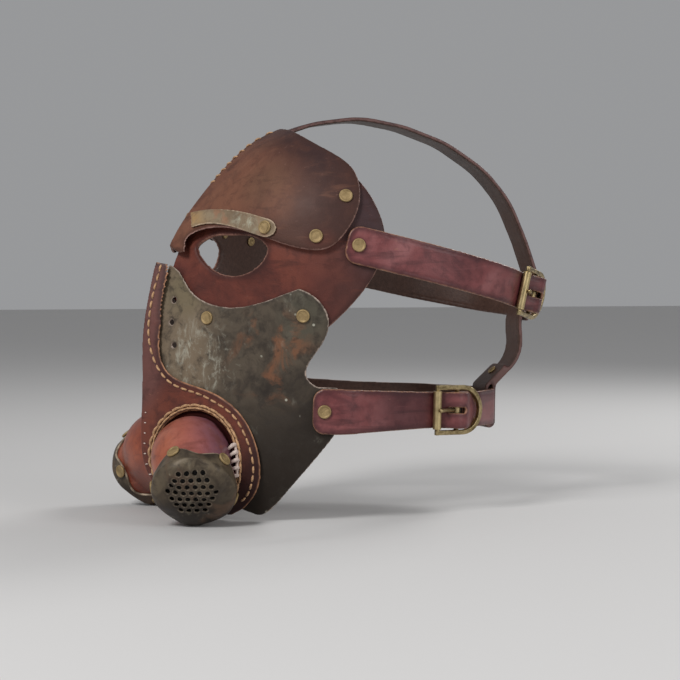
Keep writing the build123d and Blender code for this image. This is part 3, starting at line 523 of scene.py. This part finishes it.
def band(first, second, sides):
    """Faces between two rings of points, each given by its first point's number."""
    following = [(k + 1) % sides for k in range(sides)]
    return [(first + k, first + q, second + q, second + k) for k, q in enumerate(following)]


def disc(first, sides):
    """Face over a ring of points."""
    return tuple(range(first, first + sides))


def rod(centre, way, radius, half, sides):
    """Points and faces of a closed round bar, in metres."""
    way = Vector(way).normalized()
    x, y = square_to(way)
    points = [centre + way * end + round_way(x, y, math.tau * k / sides) * radius
              for end in (-half, half) for k in range(sides)]
    return points, band(0, sides, sides) + [disc(0, sides)[::-1], disc(sides, sides)]


def bars(name, spots, radius, half, sides):
    """One object of separate round bars."""
    points, faces = [], []
    for centre, way in spots:
        more, sheets = rod(centre, way, radius * MM, half * MM, sides)
        faces += [tuple(len(points) + i for i in sheet) for sheet in sheets]
        points += more
    return plain_object(name, points, faces)


def tree_of(mesh):
    return BVHTree.FromPolygons([v.co for v in mesh.vertices], [tuple(p.vertices) for p in mesh.polygons])


# ---------------------------------------------------------------- leather pieces
# Distance from a cut edge is stored up to RIM_REACH. No edge is marked within RIDGE_HALF of the
# mid-plane, where the sheets meet or fold. HEAD_Y and HEAD_LOW place the head that inner sides face.
RIM_REACH = 12
RIDGE_HALF = 2.4
HOLLOW_WIDTH = 6
HEAD_Y = 5
HEAD_LOW = -100
SHAPED_SMOOTH = 14
CREASE_AT = 2.2
CREASE_WIDTH = 0.45
CREASE_DEPTH = 0.16
UNEVENNESS = 38
FINE_UNEVENNESS = 4.3


def cut_share(tree, v, thick):
    """1 on a sheet's cut edge, where the way straight in is longer than the sheet is thick."""
    inward = tree.ray_cast(v.co - v.normal * 0.2 * MM, -v.normal)[3] or 10 * thick * MM
    return climb(inward / (thick * MM), 1.25, 1.95)


def inner_share(tree, v, cut, hollow):
    """1 on the inner side: facing the head or, in a hollow cup or cap, facing its far wall."""
    if hollow:
        faced = tree.ray_cast(v.co + v.normal * 0.3 * MM, v.normal)[3]
        return 1.0 if faced and faced > HOLLOW_WIDTH * MM and cut < 0.5 else 0.0
    head = Vector((0, HEAD_Y * MM, min(max(v.co.z, HEAD_LOW * MM), 0.0)))
    return climb(v.normal.dot((head - v.co).normalized()), 0.20, 0.45)


def mark_edges(mesh, thick, hollow):
    """Stores a sheet's cut edges, its inner side, and each point's distance from the nearest cut."""
    tree = tree_of(mesh)
    cuts, insides = [], []
    for v in mesh.vertices:
        cut = cut_share(tree, v, thick)
        on_ridge = abs(v.co.x) < RIDGE_HALF * MM and abs(v.normal.z) < 0.6
        cuts.append(0.0 if on_ridge else cut)
        insides.append(inner_share(tree, v, cut, hollow))
    edge = [v.co for v, cut in zip(mesh.vertices, cuts) if cut > 0.9]
    found = KDTree(len(edge))
    for i, place in enumerate(edge):
        found.insert(place, i)
    found.balance()
    reach = [min(found.find(v.co)[2], RIM_REACH * MM) for v in mesh.vertices]
    for name, values in (("cut", cuts), ("inner", insides), ("rim", reach)):
        mesh.attributes.new(name, "FLOAT", "POINT").data.foreach_set("value", values)
    return reach


def worked(mesh, thick, lump, crease=0.0, hollow=False):
    """Marks the cut edges, then presses the crease line and the hand-made unevenness into the faces."""
    reach = mark_edges(mesh, thick, hollow)
    lifts = []
    for v, away in zip(mesh.vertices, reach):
        place = v.co * UNEVENNESS
        press = crease * math.exp(-((away / MM - CREASE_AT) / CREASE_WIDTH) ** 2)
        lifts.append((noise.noise(place) + noise.noise(place * FINE_UNEVENNESS) * 0.3) * lump - press)
    lifted(mesh, lifts)


def supple(node, material, thick, voxel, smooth, lump, crease=0.0, cutter=None, shape=None):
    """Leather piece with the CAD node's form: rounded edges and a hand-made, uneven face."""
    piece = node_copy(node, "_skin")
    if cutter:
        punch(piece, cutter)
    remesh(piece, voxel, smooth)
    made = frozen(piece)
    if shape:
        places = []
        for v in made.vertices:
            places.extend(shape(v.co.x / MM, v.co.y / MM, v.co.z / MM))
        made.vertices.foreach_set("co", [c * MM for c in places])
        made.update()
        soften(piece, SHAPED_SMOOTH)
        made = frozen(piece)
    worked(made, thick, lump, crease, hollow=node.startswith("filter_cup"))
    stand_in(piece, node, material)
    return piece


BRIDGE_PUSH = 4.6
EDGE_SPREAD = 2.8
MUZZLE_HOLE_R = 25.9
MUZZLE_CUT_HALF = 14


def fuller_bridge(x, y, z):
    """Muzzle's top: the ridge stands further out and the edges reach over the plates."""
    ridge_half = 4 + 11 * climb(z, -40, -70)
    push = BRIDGE_PUSH * climb(z, -80, -5) ** 2 * max(1 - abs(x) / ridge_half, 0.0)
    upper = climb(z, -64, -34)
    spread = EDGE_SPREAD * upper * upper * (3 - 2 * upper) * climb(abs(x), 0, 3) ** 2
    return x + math.copysign(spread, x), y - push + spread, z


wide_hole = bars("wide_hole", [(CUP_CENTRE, CUP_WAY), (CUP_CENTRE * mirror, CUP_WAY * mirror)],
                 MUZZLE_HOLE_R, MUZZLE_CUT_HALF, sides=96)
skins = {}
skins["eye_mask"] = supple("eye_mask", base_mat, thick=2.4, voxel=0.65, smooth=12,
                           lump=0.28)
skins["muzzle"] = supple("muzzle", muzzle_mat, thick=2.5, voxel=0.5, smooth=16, lump=0.22,
                         cutter=wide_hole, shape=fuller_bridge)
dropped(wide_hole)

PAIRED_SMOOTH = 8
# Kind, material, slot, thickness that tells a cut edge, voxel, unevenness, crease depth
PAIRED_SKINS = (
    ("brow_plate", brow_mat, "brow_leather", 2.8, 0.6, 0.20, 0.0),
    ("brow_strip", strip_mat, "strip_leather", 1.1, 0.4, 0.10, 0.0),
    ("cheek_plate", plate_mat, "plate_leather", 2.0, 0.7, 0.20, 0.0),
    ("filter_cup", cup_mat, "cup_leather", 2.0, 0.6, 0.20, 0.0),
    ("upper_strap", strap_mat, "strap_leather", 2.2, 0.7, 0.10, CREASE_DEPTH),
    ("lower_strap", strap_mat, "strap_leather", 2.2, 0.7, 0.10, CREASE_DEPTH))
for side in ("left", "right"):
    for kind, material, slot, thick, voxel, lump, crease in PAIRED_SKINS:
        node = f"{kind}_{side}"
        skins[node] = supple(node, material, thick, voxel, PAIRED_SMOOTH, lump, crease)
for node in ("crown_strap", "nape_strap"):
    skins[node] = supple(node, harness_mat, thick=2.2, voxel=0.7, smooth=5, lump=0.12,
                         crease=CREASE_DEPTH)


# ---------------------------------------------------------------- buckles
CAST_SHRINK = 0.12
CAST_UNEVENNESS = 0.04
PIN_BEVEL = 0.15


def cast_frame(node):
    """Buckle frame as a worn casting: the CAD node's frame with its square bars rounded."""
    piece = node_copy(node, "_cast")
    remesh(piece, voxel=0.33, rounds=18)
    made = frozen(piece)
    lifted(made, [-(CAST_SHRINK + noise.noise(v.co * 400) * CAST_UNEVENNESS) for v in made.vertices])
    stand_in(piece, node, brass_mat)


def dress(node):
    """Tongue or roller: the CAD node kept as it is, in brass and with its edges broken."""
    piece = nodes[node]
    piece.data.materials.clear()
    piece.data.materials.append(brass_mat)
    piece.data.polygons.foreach_set("material_index", [0] * len(piece.data.polygons))
    edge = piece.modifiers.new("edge", "BEVEL")
    edge.width = PIN_BEVEL * MM
    edge.segments = 2
    edge.limit_method = "ANGLE"
    edge.angle_limit = math.radians(35)


# ---------------------------------------------------------------- rivets
HEAD_H = 1.5
HEAD_R = 3.6
BURR_R = 2.6
BURR_T = 0.8
SHANK_R = 1.5
RIVET_SIDES = 40
RIVET_DENT = 0.07


def solids_of(mesh):
    """Triangle corner places of each separate solid in a CAD mesh."""
    mesh.calc_loop_triangles()
    keys, where = {}, []
    for v in mesh.vertices:
        key = tuple(round(c * 1e6) for c in v.co)
        where.append(keys.setdefault(key, len(keys)))
    parent = list(range(len(keys)))

    def root(i):
        while parent[i] != i:
            parent[i] = parent[parent[i]]
            i = parent[i]
        return i

    triangles = [[where[i] for i in t.vertices] for t in mesh.loop_triangles]
    for a, b, c in triangles:
        parent[root(a)] = root(b)
        parent[root(b)] = root(c)
    groups = {}
    for corners, t in zip(triangles, mesh.loop_triangles):
        groups.setdefault(root(corners[0]), []).append([tuple(mesh.vertices[i].co) for i in t.vertices])
    return [numpy.array(group) for group in groups.values()]


def rivet_axis(triangles):
    """Seat centre, outward way and grip of one CAD rivet, from its faces."""
    a, b, c = triangles[:, 0], triangles[:, 1], triangles[:, 2]
    cross = numpy.cross(b - a, c - a)
    area = numpy.linalg.norm(cross, axis=1)
    normal = cross / numpy.maximum(area, 1e-18)[:, None]
    spread = (normal[:, :, None] * normal[:, None, :] * area[:, None, None]).sum(0)
    way = numpy.linalg.eigh(spread)[1][:, -1]
    centre = ((a + b + c) / 3 * area[:, None]).sum(0) / area.sum()
    places = triangles.reshape(-1, 3) - centre
    heights = places @ way
    radii = numpy.linalg.norm(places - heights[:, None] * way, axis=1)
    end = HEAD_H * MM * 1.2
    if radii[heights < heights.min() + end].max() > radii[heights > heights.max() - end].max():
        way, heights = -way, -heights
    seat = Vector(centre) + Vector(way) * (heights.max() - HEAD_H * MM)
    grip = (heights.max() - heights.min()) / MM - HEAD_H - BURR_T
    return seat, Vector(way), grip


def rivet_profile(grip):
    """Radii and heights from the middle of the face over the rim, then down the shank to the burr."""
    face = ((0.05, 0.86), (1.3, 0.90), (2.2, 0.88))
    rim = ((2.55, 0.96), (2.85, 1.22), (3.15, 1.30), (3.4, 1.14), (HEAD_R - 0.03, 0.74), (HEAD_R, 0.34))
    shank = ((3.45, 0.09), (SHANK_R, 0.09), (SHANK_R, -grip))
    burr = ((BURR_R - 0.2, -grip), (BURR_R, -grip - BURR_T * 0.5), (BURR_R - 0.25, -grip - BURR_T),
            (1.2, -grip - BURR_T), (0.9, -grip - BURR_T * 0.7), (0.05, -grip - BURR_T * 0.7))
    return face + rim + shank + burr


def turned_rivets(node):
    """Pressed rivets with a raised rim round a flat, dented face, in the CAD rivets' places."""
    points, faces = [], []
    for triangles in solids_of(nodes[node].data):
        seat, way, grip = rivet_axis(triangles)
        x, y = square_to(way)
        base = len(points)
        for r, h in rivet_profile(grip):
            for k in range(RIVET_SIDES):
                spot = seat + round_way(x, y, math.tau * k / RIVET_SIDES) * r * MM + way * h * MM
                dent = noise.noise(spot * 700) * RIVET_DENT * MM if h > 0.3 else 0.0
                points.append(spot + way * dent)
        last = len(points) - RIVET_SIDES
        for ring in range(base, last, RIVET_SIDES):
            faces += band(ring + RIVET_SIDES, ring, RIVET_SIDES)
        faces.append(disc(base, RIVET_SIDES))
        faces.append(disc(last, RIVET_SIDES)[::-1])
    piece = plain_object(node + "_turned", points, faces)
    shade_smooth(piece.data)
    stand_in(piece, node, rivet_mat)


# ---------------------------------------------------------------- filter caps
CAP_ACROSS = Vector((0, 0, 1)).cross(CAP_WAY).normalized()
CAP_UP = CAP_WAY.cross(CAP_ACROSS)
CAP_R = 22.25
CAP_T = 1.3
CAP_SKIRT = 4.6
CAP_SCALLOP = 5.2
CAP_SHOULDER = 4.75
CAP_CROWN_H = 8.5
CAP_TABS = 5
CAP_PHASE = 44
CAP_PINCH = 3.5
SKIRT_SHARE = 0.4
FLOOR_ROOM = 0.2
HOLE_R = 1.32
HOLE_PITCH = 4.15
HOLES_UP = 4.6
HOLE_FIELD = 3.05 * HOLE_PITCH
DRILL_HALF = 12
GAUZE_R = 18.8
GAUZE_UP = 5.4


def cap_point(angle, share, inset):
    """Point of the left cap: share runs from the skirt's hem, 0, over the shoulder to the crown, 1."""
    between_tabs = 0.5 - 0.5 * math.cos(CAP_TABS * (angle - math.radians(CAP_PHASE)))
    if share < SKIRT_SHARE:
        t = share / SKIRT_SHARE
        hem = -CAP_SKIRT + CAP_SCALLOP * between_tabs ** 1.4
        h = hem + (CAP_SHOULDER - hem) * t
        r = CAP_R - inset - 0.25 * t * between_tabs - 0.1
    else:
        t = (share - SKIRT_SHARE) / (1 - SKIRT_SHARE) * math.pi / 2
        dent = noise.noise(Vector((math.cos(angle), math.sin(angle), 1.4 * share)) * 1.9) * climb(t, 0, 0.4)
        pinch = (CAP_PINCH * max(math.sin(2 * t), 0.0) ** 0.95 + 0.25 * math.cos(t)) * between_tabs ** 1.5
        h = CAP_SHOULDER + (CAP_CROWN_H - inset) * math.sin(t) ** 1.05 + dent * 0.8
        r = (CAP_R - inset) * math.cos(t) ** 0.82 + dent * 0.5 * math.cos(t) - pinch
    out = round_way(CAP_ACROSS, CAP_UP, angle)
    point = CAP_PLACE + (out * max(r, 0.02) + CAP_WAY * h) * MM
    point.z = max(point.z, cad_box[0][2] + (FLOOR_ROOM + inset) * MM)
    return point


def cap_holes():
    """Places and way of the holes: hexagonal rows punched over the crown."""
    spots = []
    for row in range(-3, 4):
        for column in range(-3, 4):
            u = (column + row / 2) * HOLE_PITCH
            w = row * HOLE_PITCH * math.sqrt(3) / 2
            if math.hypot(u, w) < HOLE_FIELD:
                spot = CAP_ACROSS * u + CAP_UP * (w + HOLES_UP) + CAP_WAY * DRILL_HALF
                spots.append((CAP_PLACE + spot * MM, CAP_WAY))
    return spots


def pressed_cap(side):
    """Perforated cap of one side, with soft pinches and rounded hole rims."""
    around, up = 120, 34
    points = [cap_point(math.tau * i / around, j / up, inset)
              for inset in (0.0, CAP_T) for j in range(up + 1) for i in range(around)]
    top = around * up
    wall = top + around
    faces = []
    for ring in range(0, top, around):
        faces += band(ring, ring + around, around)
        faces += band(wall + ring + around, wall + ring, around)
    faces += band(wall, 0, around) + [disc(top, around), disc(wall + top, around)[::-1]]
    spots = cap_holes()
    if side == "right":
        points = [p * mirror for p in points]
        faces = [face[::-1] for face in faces]
        spots = [(p * mirror, way * mirror) for p, way in spots]
    piece = plain_object(f"filter_cap_{side}_pressed", points, faces)
    drills = bars("drills", spots, HOLE_R, DRILL_HALF, sides=14)
    punch(piece, drills)
    remesh(piece, voxel=0.34, rounds=4)
    made = frozen(piece)
    dropped(drills)
    worked(made, CAP_T, lump=0.12, hollow=True)
    stand_in(piece, f"filter_cap_{side}", cap_mat)


def gauze(side):
    """Dark filter cloth across the cup's mouth, behind the cap's holes."""
    turn = mirror if side == "right" else Vector((1, 1, 1))
    centre = (CAP_PLACE + CAP_WAY * GAUZE_UP * MM) * turn
    piece = bars(f"filter_gauze_{side}", [(centre, CAP_WAY * turn)], GAUZE_R, half=0.35, sides=64)
    piece.data.materials.append(gauze_mat)
    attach(piece, "mask")


for side in ("left", "right"):
    pressed_cap(side)
    gauze(side)
for node in list(nodes):
    if "rivets" in node:
        turned_rivets(node)
    elif node.endswith("buckle_frame"):
        cast_frame(node)
    elif "buckle" in node:
        dress(node)


# ---------------------------------------------------------------- stitching
STITCH_SIDES = 8
STITCH_STEPS = 9
HOLE_SIDES = 10
HOLE_RINGS = ((0.05, -0.35), (0.6, -0.10), (1.0, 0.05))


def mesh_piece(name, points, faces, material):
    piece = plain_object(name, points, faces)
    shade_smooth(piece.data)
    piece.data.materials.append(material)
    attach(piece, "mask")


def stitches(name, pairs, material, radius, arch, sink=0.5, bow=0.0):
    """Bent thread lengths, each from one hole to another: arch is their rise, bow their bend sideways."""
    points, faces = [], []
    for (a, na), (b, nb) in pairs:
        normal = (na + nb).normalized()
        run = (b - a).normalized()
        side = run.cross(normal).normalized()
        base = len(points)
        for i in range(STITCH_STEPS + 1):
            t = i / STITCH_STEPS
            swell = math.sin(math.pi * t)
            lift = swell ** 0.55 * (arch + sink) - sink
            centre = a.lerp(b, t) + (normal * lift + side * swell * bow) * MM
            up = (normal - run * math.cos(math.pi * t) * 0.8).normalized()
            r = radius * (0.62 + 0.42 * swell ** 0.6) * (1 + 0.08 * math.sin(i * 2.4)) * MM
            for k in range(STITCH_SIDES):
                points.append(centre + round_way(side, up, math.tau * k / STITCH_SIDES) * r)
        last = len(points) - STITCH_SIDES
        for ring in range(base, last, STITCH_SIDES):
            faces += band(ring, ring + STITCH_SIDES, STITCH_SIDES)
        faces.append(disc(base, STITCH_SIDES)[::-1])
        faces.append(disc(last, STITCH_SIDES))
    mesh_piece(name, points, faces, material)


def holes(name, spots, radius):
    """Small dished rings where the awl went through, filled with painted shade."""
    points, faces = [], []
    for p, n in spots:
        x, y = square_to(n)
        base = len(points)
        for share, lift in HOLE_RINGS:
            for k in range(HOLE_SIDES):
                out = round_way(x, y, math.tau * k / HOLE_SIDES) * share * radius
                points.append(p + (out + n * lift) * MM)
        for ring in range(base, len(points) - HOLE_SIDES, HOLE_SIDES):
            faces += band(ring + HOLE_SIDES, ring, HOLE_SIDES)
        faces.append(disc(base, HOLE_SIDES))
    mesh_piece(name, points, faces, hole_shade_mat)


def flip(pairs):
    """The same stitches on the wearer's right."""
    return [((a * mirror, na * mirror), (b * mirror, nb * mirror)) for (a, na), (b, nb) in pairs]


def ends_of(pairs):
    return [end for pair in pairs for end in pair]


def curve_through(points, closeness=24):
    """Even Catmull-Rom samples through side-view points."""
    padded = [points[0]] + list(points) + [points[-1]]
    out = []
    for i in range(1, len(padded) - 2):
        p0, p1, p2, p3 = (Vector(q) for q in padded[i - 1:i + 3])
        for j in range(closeness):
            t = j / closeness
            out.append(0.5 * ((2 * p1) + (p2 - p0) * t + (2 * p0 - 5 * p1 + 4 * p2 - p3) * t * t
                              + (3 * p1 - p0 - 3 * p2 + p3) * t ** 3))
    out.append(Vector(points[-1]))
    return out


def spaced(points, pitch):
    """Walks a line of 3-D points and gives places every pitch millimetres."""
    out, carry = [points[0]], 0.0
    for a, b in zip(points, points[1:]):
        length = (b - a).length
        while carry + length >= pitch * MM:
            a = a.lerp(b, (pitch * MM - carry) / length)
            length = (b - a).length
            carry = 0.0
            out.append(a)
        carry += length
    return out


# Running stitch along the muzzle's edge, which is given by its side view, y and z
EDGE = ((-104.9, -3.5), (-110.9, -25.7), (-112.3, -46), (-105.5, -63.3), (-89, -71.2), (-75.1, -83.3),
        (-67.4, -105.7), (-67.6, -125), (-71.5, -133))
EDGE_INSET = 2.9
EDGE_PITCH = 5.1
EDGE_GAP = 1.3
muzzle_tree = tree_of(skins["muzzle"].data)


def edge_line():
    """Places a set distance in from the muzzle's left edge, on its outer face."""
    line = curve_through(EDGE)
    rough = []
    for i, p in enumerate(line):
        run = (line[min(i + 1, len(line) - 1)] - line[max(i - 1, 0)]).normalized()
        inward = Vector((run.y, -run.x))
        start = (p + inward) * MM
        hit, normal, _, _ = muzzle_tree.ray_cast(Vector((0.2, start.x, start.y)), Vector((-1, 0, 0)))
        if hit and hit.x > 0:
            rough.append((hit, normal, inward))
    out = []
    for i, (p, normal, inward) in enumerate(rough):
        run = rough[min(i + 2, len(rough) - 1)][0] - rough[max(i - 2, 0)][0]
        across = run.normalized().cross(normal)
        if across.y * inward.x + across.z * inward.y < 0:
            across = -across
        out.append(muzzle_tree.find_nearest(p + across.normalized() * EDGE_INSET * MM)[0])
    return out


def running_stitch(line, pitch, gap):
    """Stitches along a line with a short gap between them."""
    places = [muzzle_tree.find_nearest(p)[:2] for p in spaced(line, pitch)]
    share = gap / pitch / 2
    pairs = []
    for (a, na), (b, nb) in zip(places, places[1:]):
        pairs.append(((a.lerp(b, share), na), (a.lerp(b, 1 - share), nb)))
    return pairs


edge_pairs = running_stitch(edge_line(), EDGE_PITCH, EDGE_GAP)
edge_pairs += flip(edge_pairs)
stitches("edge_stitches", edge_pairs, thread_mat, radius=0.60, arch=0.40)
holes("edge_stitch_holes", ends_of(edge_pairs), radius=0.75)

# Saddle stitch round each cup's hole: long overlapping lengths, a second strand beside them
RING_STITCHES = 30
RING_HOLES_R = 29.9
ring_x = Vector((0, 0, 1)).cross(CUP_WAY).normalized()
ring_y = CUP_WAY.cross(ring_x)


def ring_spot(angle, radius):
    """Place on the muzzle's face at a point of the ring round the left cup."""
    p = CUP_CENTRE + round_way(ring_x, ring_y, angle) * radius * MM
    hit, normal, _, _ = muzzle_tree.ray_cast(p + CUP_WAY * 30 * MM, -CUP_WAY)
    return (hit, normal) if hit and hit.x > 1 * MM and (hit - p).length < 20 * MM else None


def ring_chain(start, reach, radius_a, radius_b):
    """Stitches round the ring: each starts a share of a stitch on, and reaches on by another."""
    pairs = []
    for i in range(RING_STITCHES):
        a = ring_spot(math.tau * (i + start) / RING_STITCHES, radius_a)
        b = ring_spot(math.tau * (i + start + reach) / RING_STITCHES, radius_b)
        if a and b:
            pairs.append((a, b))
    return pairs


outer_chain = ring_chain(start=0.0, reach=1.10, radius_a=28.9, radius_b=28.5)
inner_chain = ring_chain(start=0.45, reach=1.15, radius_a=27.5, radius_b=27.7)
ring_dots = [ring_spot(math.tau * (i + 0.05) / RING_STITCHES, RING_HOLES_R) for i in range(RING_STITCHES)]
ring_dots = [dot for dot in ring_dots if dot]
stitches("ring_stitches", outer_chain + flip(outer_chain), thread_mat, radius=0.74, arch=0.75, bow=0.55)
stitches("ring_inner_strand", inner_chain + flip(inner_chain), thread_mat, radius=0.58, arch=0.45)
holes("ring_stitch_holes", ring_dots + [(p * mirror, n * mirror) for p, n in ring_dots], radius=0.85)

# Pale lacing that draws each cup to the muzzle at its rear
LACES = 5
LACE_FIRST = math.radians(19.0)
LACE_STEP = math.radians(-8.3)
LACE_LEAN = 0.04
LACE_UP = 3.6
LACE_RING_R = 27.9
cup_tree = tree_of(skins["filter_cup_left"].data)


def cup_side_spot(angle, up):
    """Place on the left cup's wall, a height above its foot."""
    outward = round_way(ring_x, ring_y, angle)
    start = CUP_CENTRE + (CUP_WAY * up + outward * 45) * MM
    hit, normal, _, _ = cup_tree.ray_cast(start, -outward)
    return (hit, normal) if hit else None


laces = []
for i in range(LACES):
    angle = LACE_FIRST + LACE_STEP * i
    a = cup_side_spot(angle - LACE_LEAN, LACE_UP)
    b = ring_spot(angle, LACE_RING_R)
    if a and b:
        laces.append((a, b))
links = [(first[1], second[1]) for first, second in zip(laces, laces[1:])]
stitches("lacing", laces + flip(laces), pale_mat, radius=1.05, arch=1.9, sink=0.7, bow=-0.7)
stitches("lacing_links", links + flip(links), pale_mat, radius=0.8, arch=1.3, sink=0.2, bow=0.4)

# Seams over the mid-plane
FRONT_Y = -200
SEAM_HALF = 2.6
BROW_SEAM = [72.5 - 3.4 * i for i in range(10)]
MUZZLE_SEAM = [-84 - 5.6 * i for i in range(9)]


def ridge_pairs(left, right, heights, slant=0.0):
    """Stitches from the left side of the ridge to the right, found from the front."""
    out = []
    for z in heights:
        a, na, _, _ = left.ray_cast(Vector((SEAM_HALF, FRONT_Y, z)) * MM, Vector((0, 1, 0)))
        b, nb, _, _ = right.ray_cast(Vector((-SEAM_HALF, FRONT_Y, z + slant)) * MM, Vector((0, 1, 0)))
        if a and b:
            out.append(((a, na), (b, nb)))
    return out


brow_trees = [tree_of(skins[f"brow_plate_{side}"].data) for side in ("left", "right")]
brow_pairs = ridge_pairs(*brow_trees, BROW_SEAM, slant=-1.5)
stitches("brow_seam_stitches", brow_pairs, thread_mat, radius=0.50, arch=0.55)
holes("brow_seam_holes", ends_of(brow_pairs), radius=0.85)
seam_pairs = ridge_pairs(muzzle_tree, muzzle_tree, MUZZLE_SEAM)
stitches("muzzle_seam_stitches", seam_pairs, pale_mat, radius=0.50, arch=0.7)
holes("muzzle_seam_holes", ends_of(seam_pairs), radius=0.75)


# ---------------------------------------------------------------- stage
FLOOR_HALF = 6
FLOOR_GAP = 0.5
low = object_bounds()[0]
corners = [(x * FLOOR_HALF, y * FLOOR_HALF, 0) for x, y in ((-1, -1), (1, -1), (1, 1), (-1, 1))]
floor = plain_object("floor", corners, [(0, 1, 2, 3)])
floor.location.z = low.z - FLOOR_GAP * MM
paint = Look("floor_paint")
paint.bsdf.inputs["Base Color"].default_value = (0.62, 0.61, 0.60, 1)
paint.bsdf.inputs["Roughness"].default_value = 0.8
floor.data.materials.append(paint.mat)


def aimed(piece, place, target):
    """Puts a camera or lamp in its place and turns it to its target."""
    bpy.context.scene.collection.objects.link(piece)
    piece.location = place
    piece.rotation_mode = "QUATERNION"
    piece.rotation_quaternion = (Vector(target) - Vector(place)).to_track_quat("-Z", "Y")


def lamp(name, place, target, size, power):
    data = bpy.data.lights.new(name, "AREA")
    data.shape = "DISK"
    data.size = size
    data.energy = power
    aimed(bpy.data.objects.new(name, data), place, target)


# The photograph's view: from the wearer's left, a little in front and above
CAMERA_PLACE = Vector((1007.30, -333.19, -8.99)) * MM
CAMERA_TARGET = Vector((-0.207, -5.833, -45.986)) * MM
camera = bpy.data.objects.new("camera", bpy.data.cameras.new("camera"))
camera.data.lens = 100
camera.data.sensor_width = 36
aimed(camera, CAMERA_PLACE, CAMERA_TARGET)
bpy.context.scene.camera = camera

lamp("key", (0.75, -0.95, 0.85), (0, -0.03, -0.03), size=0.45, power=12.5)
lamp("side", (1.1, 0.65, 0.35), (0, 0, -0.03), size=0.6, power=4)
lamp("rim", (-0.5, 0.9, 0.7), (0, 0, 0), size=0.5, power=6)
world = bpy.data.worlds.new("studio")
world.use_nodes = True
world.node_tree.nodes["Background"].inputs["Color"].default_value = (0.82, 0.83, 0.85, 1)
world.node_tree.nodes["Background"].inputs["Strength"].default_value = 0.38
bpy.context.scene.world = world
bpy.context.scene.view_settings.view_transform = "Standard"
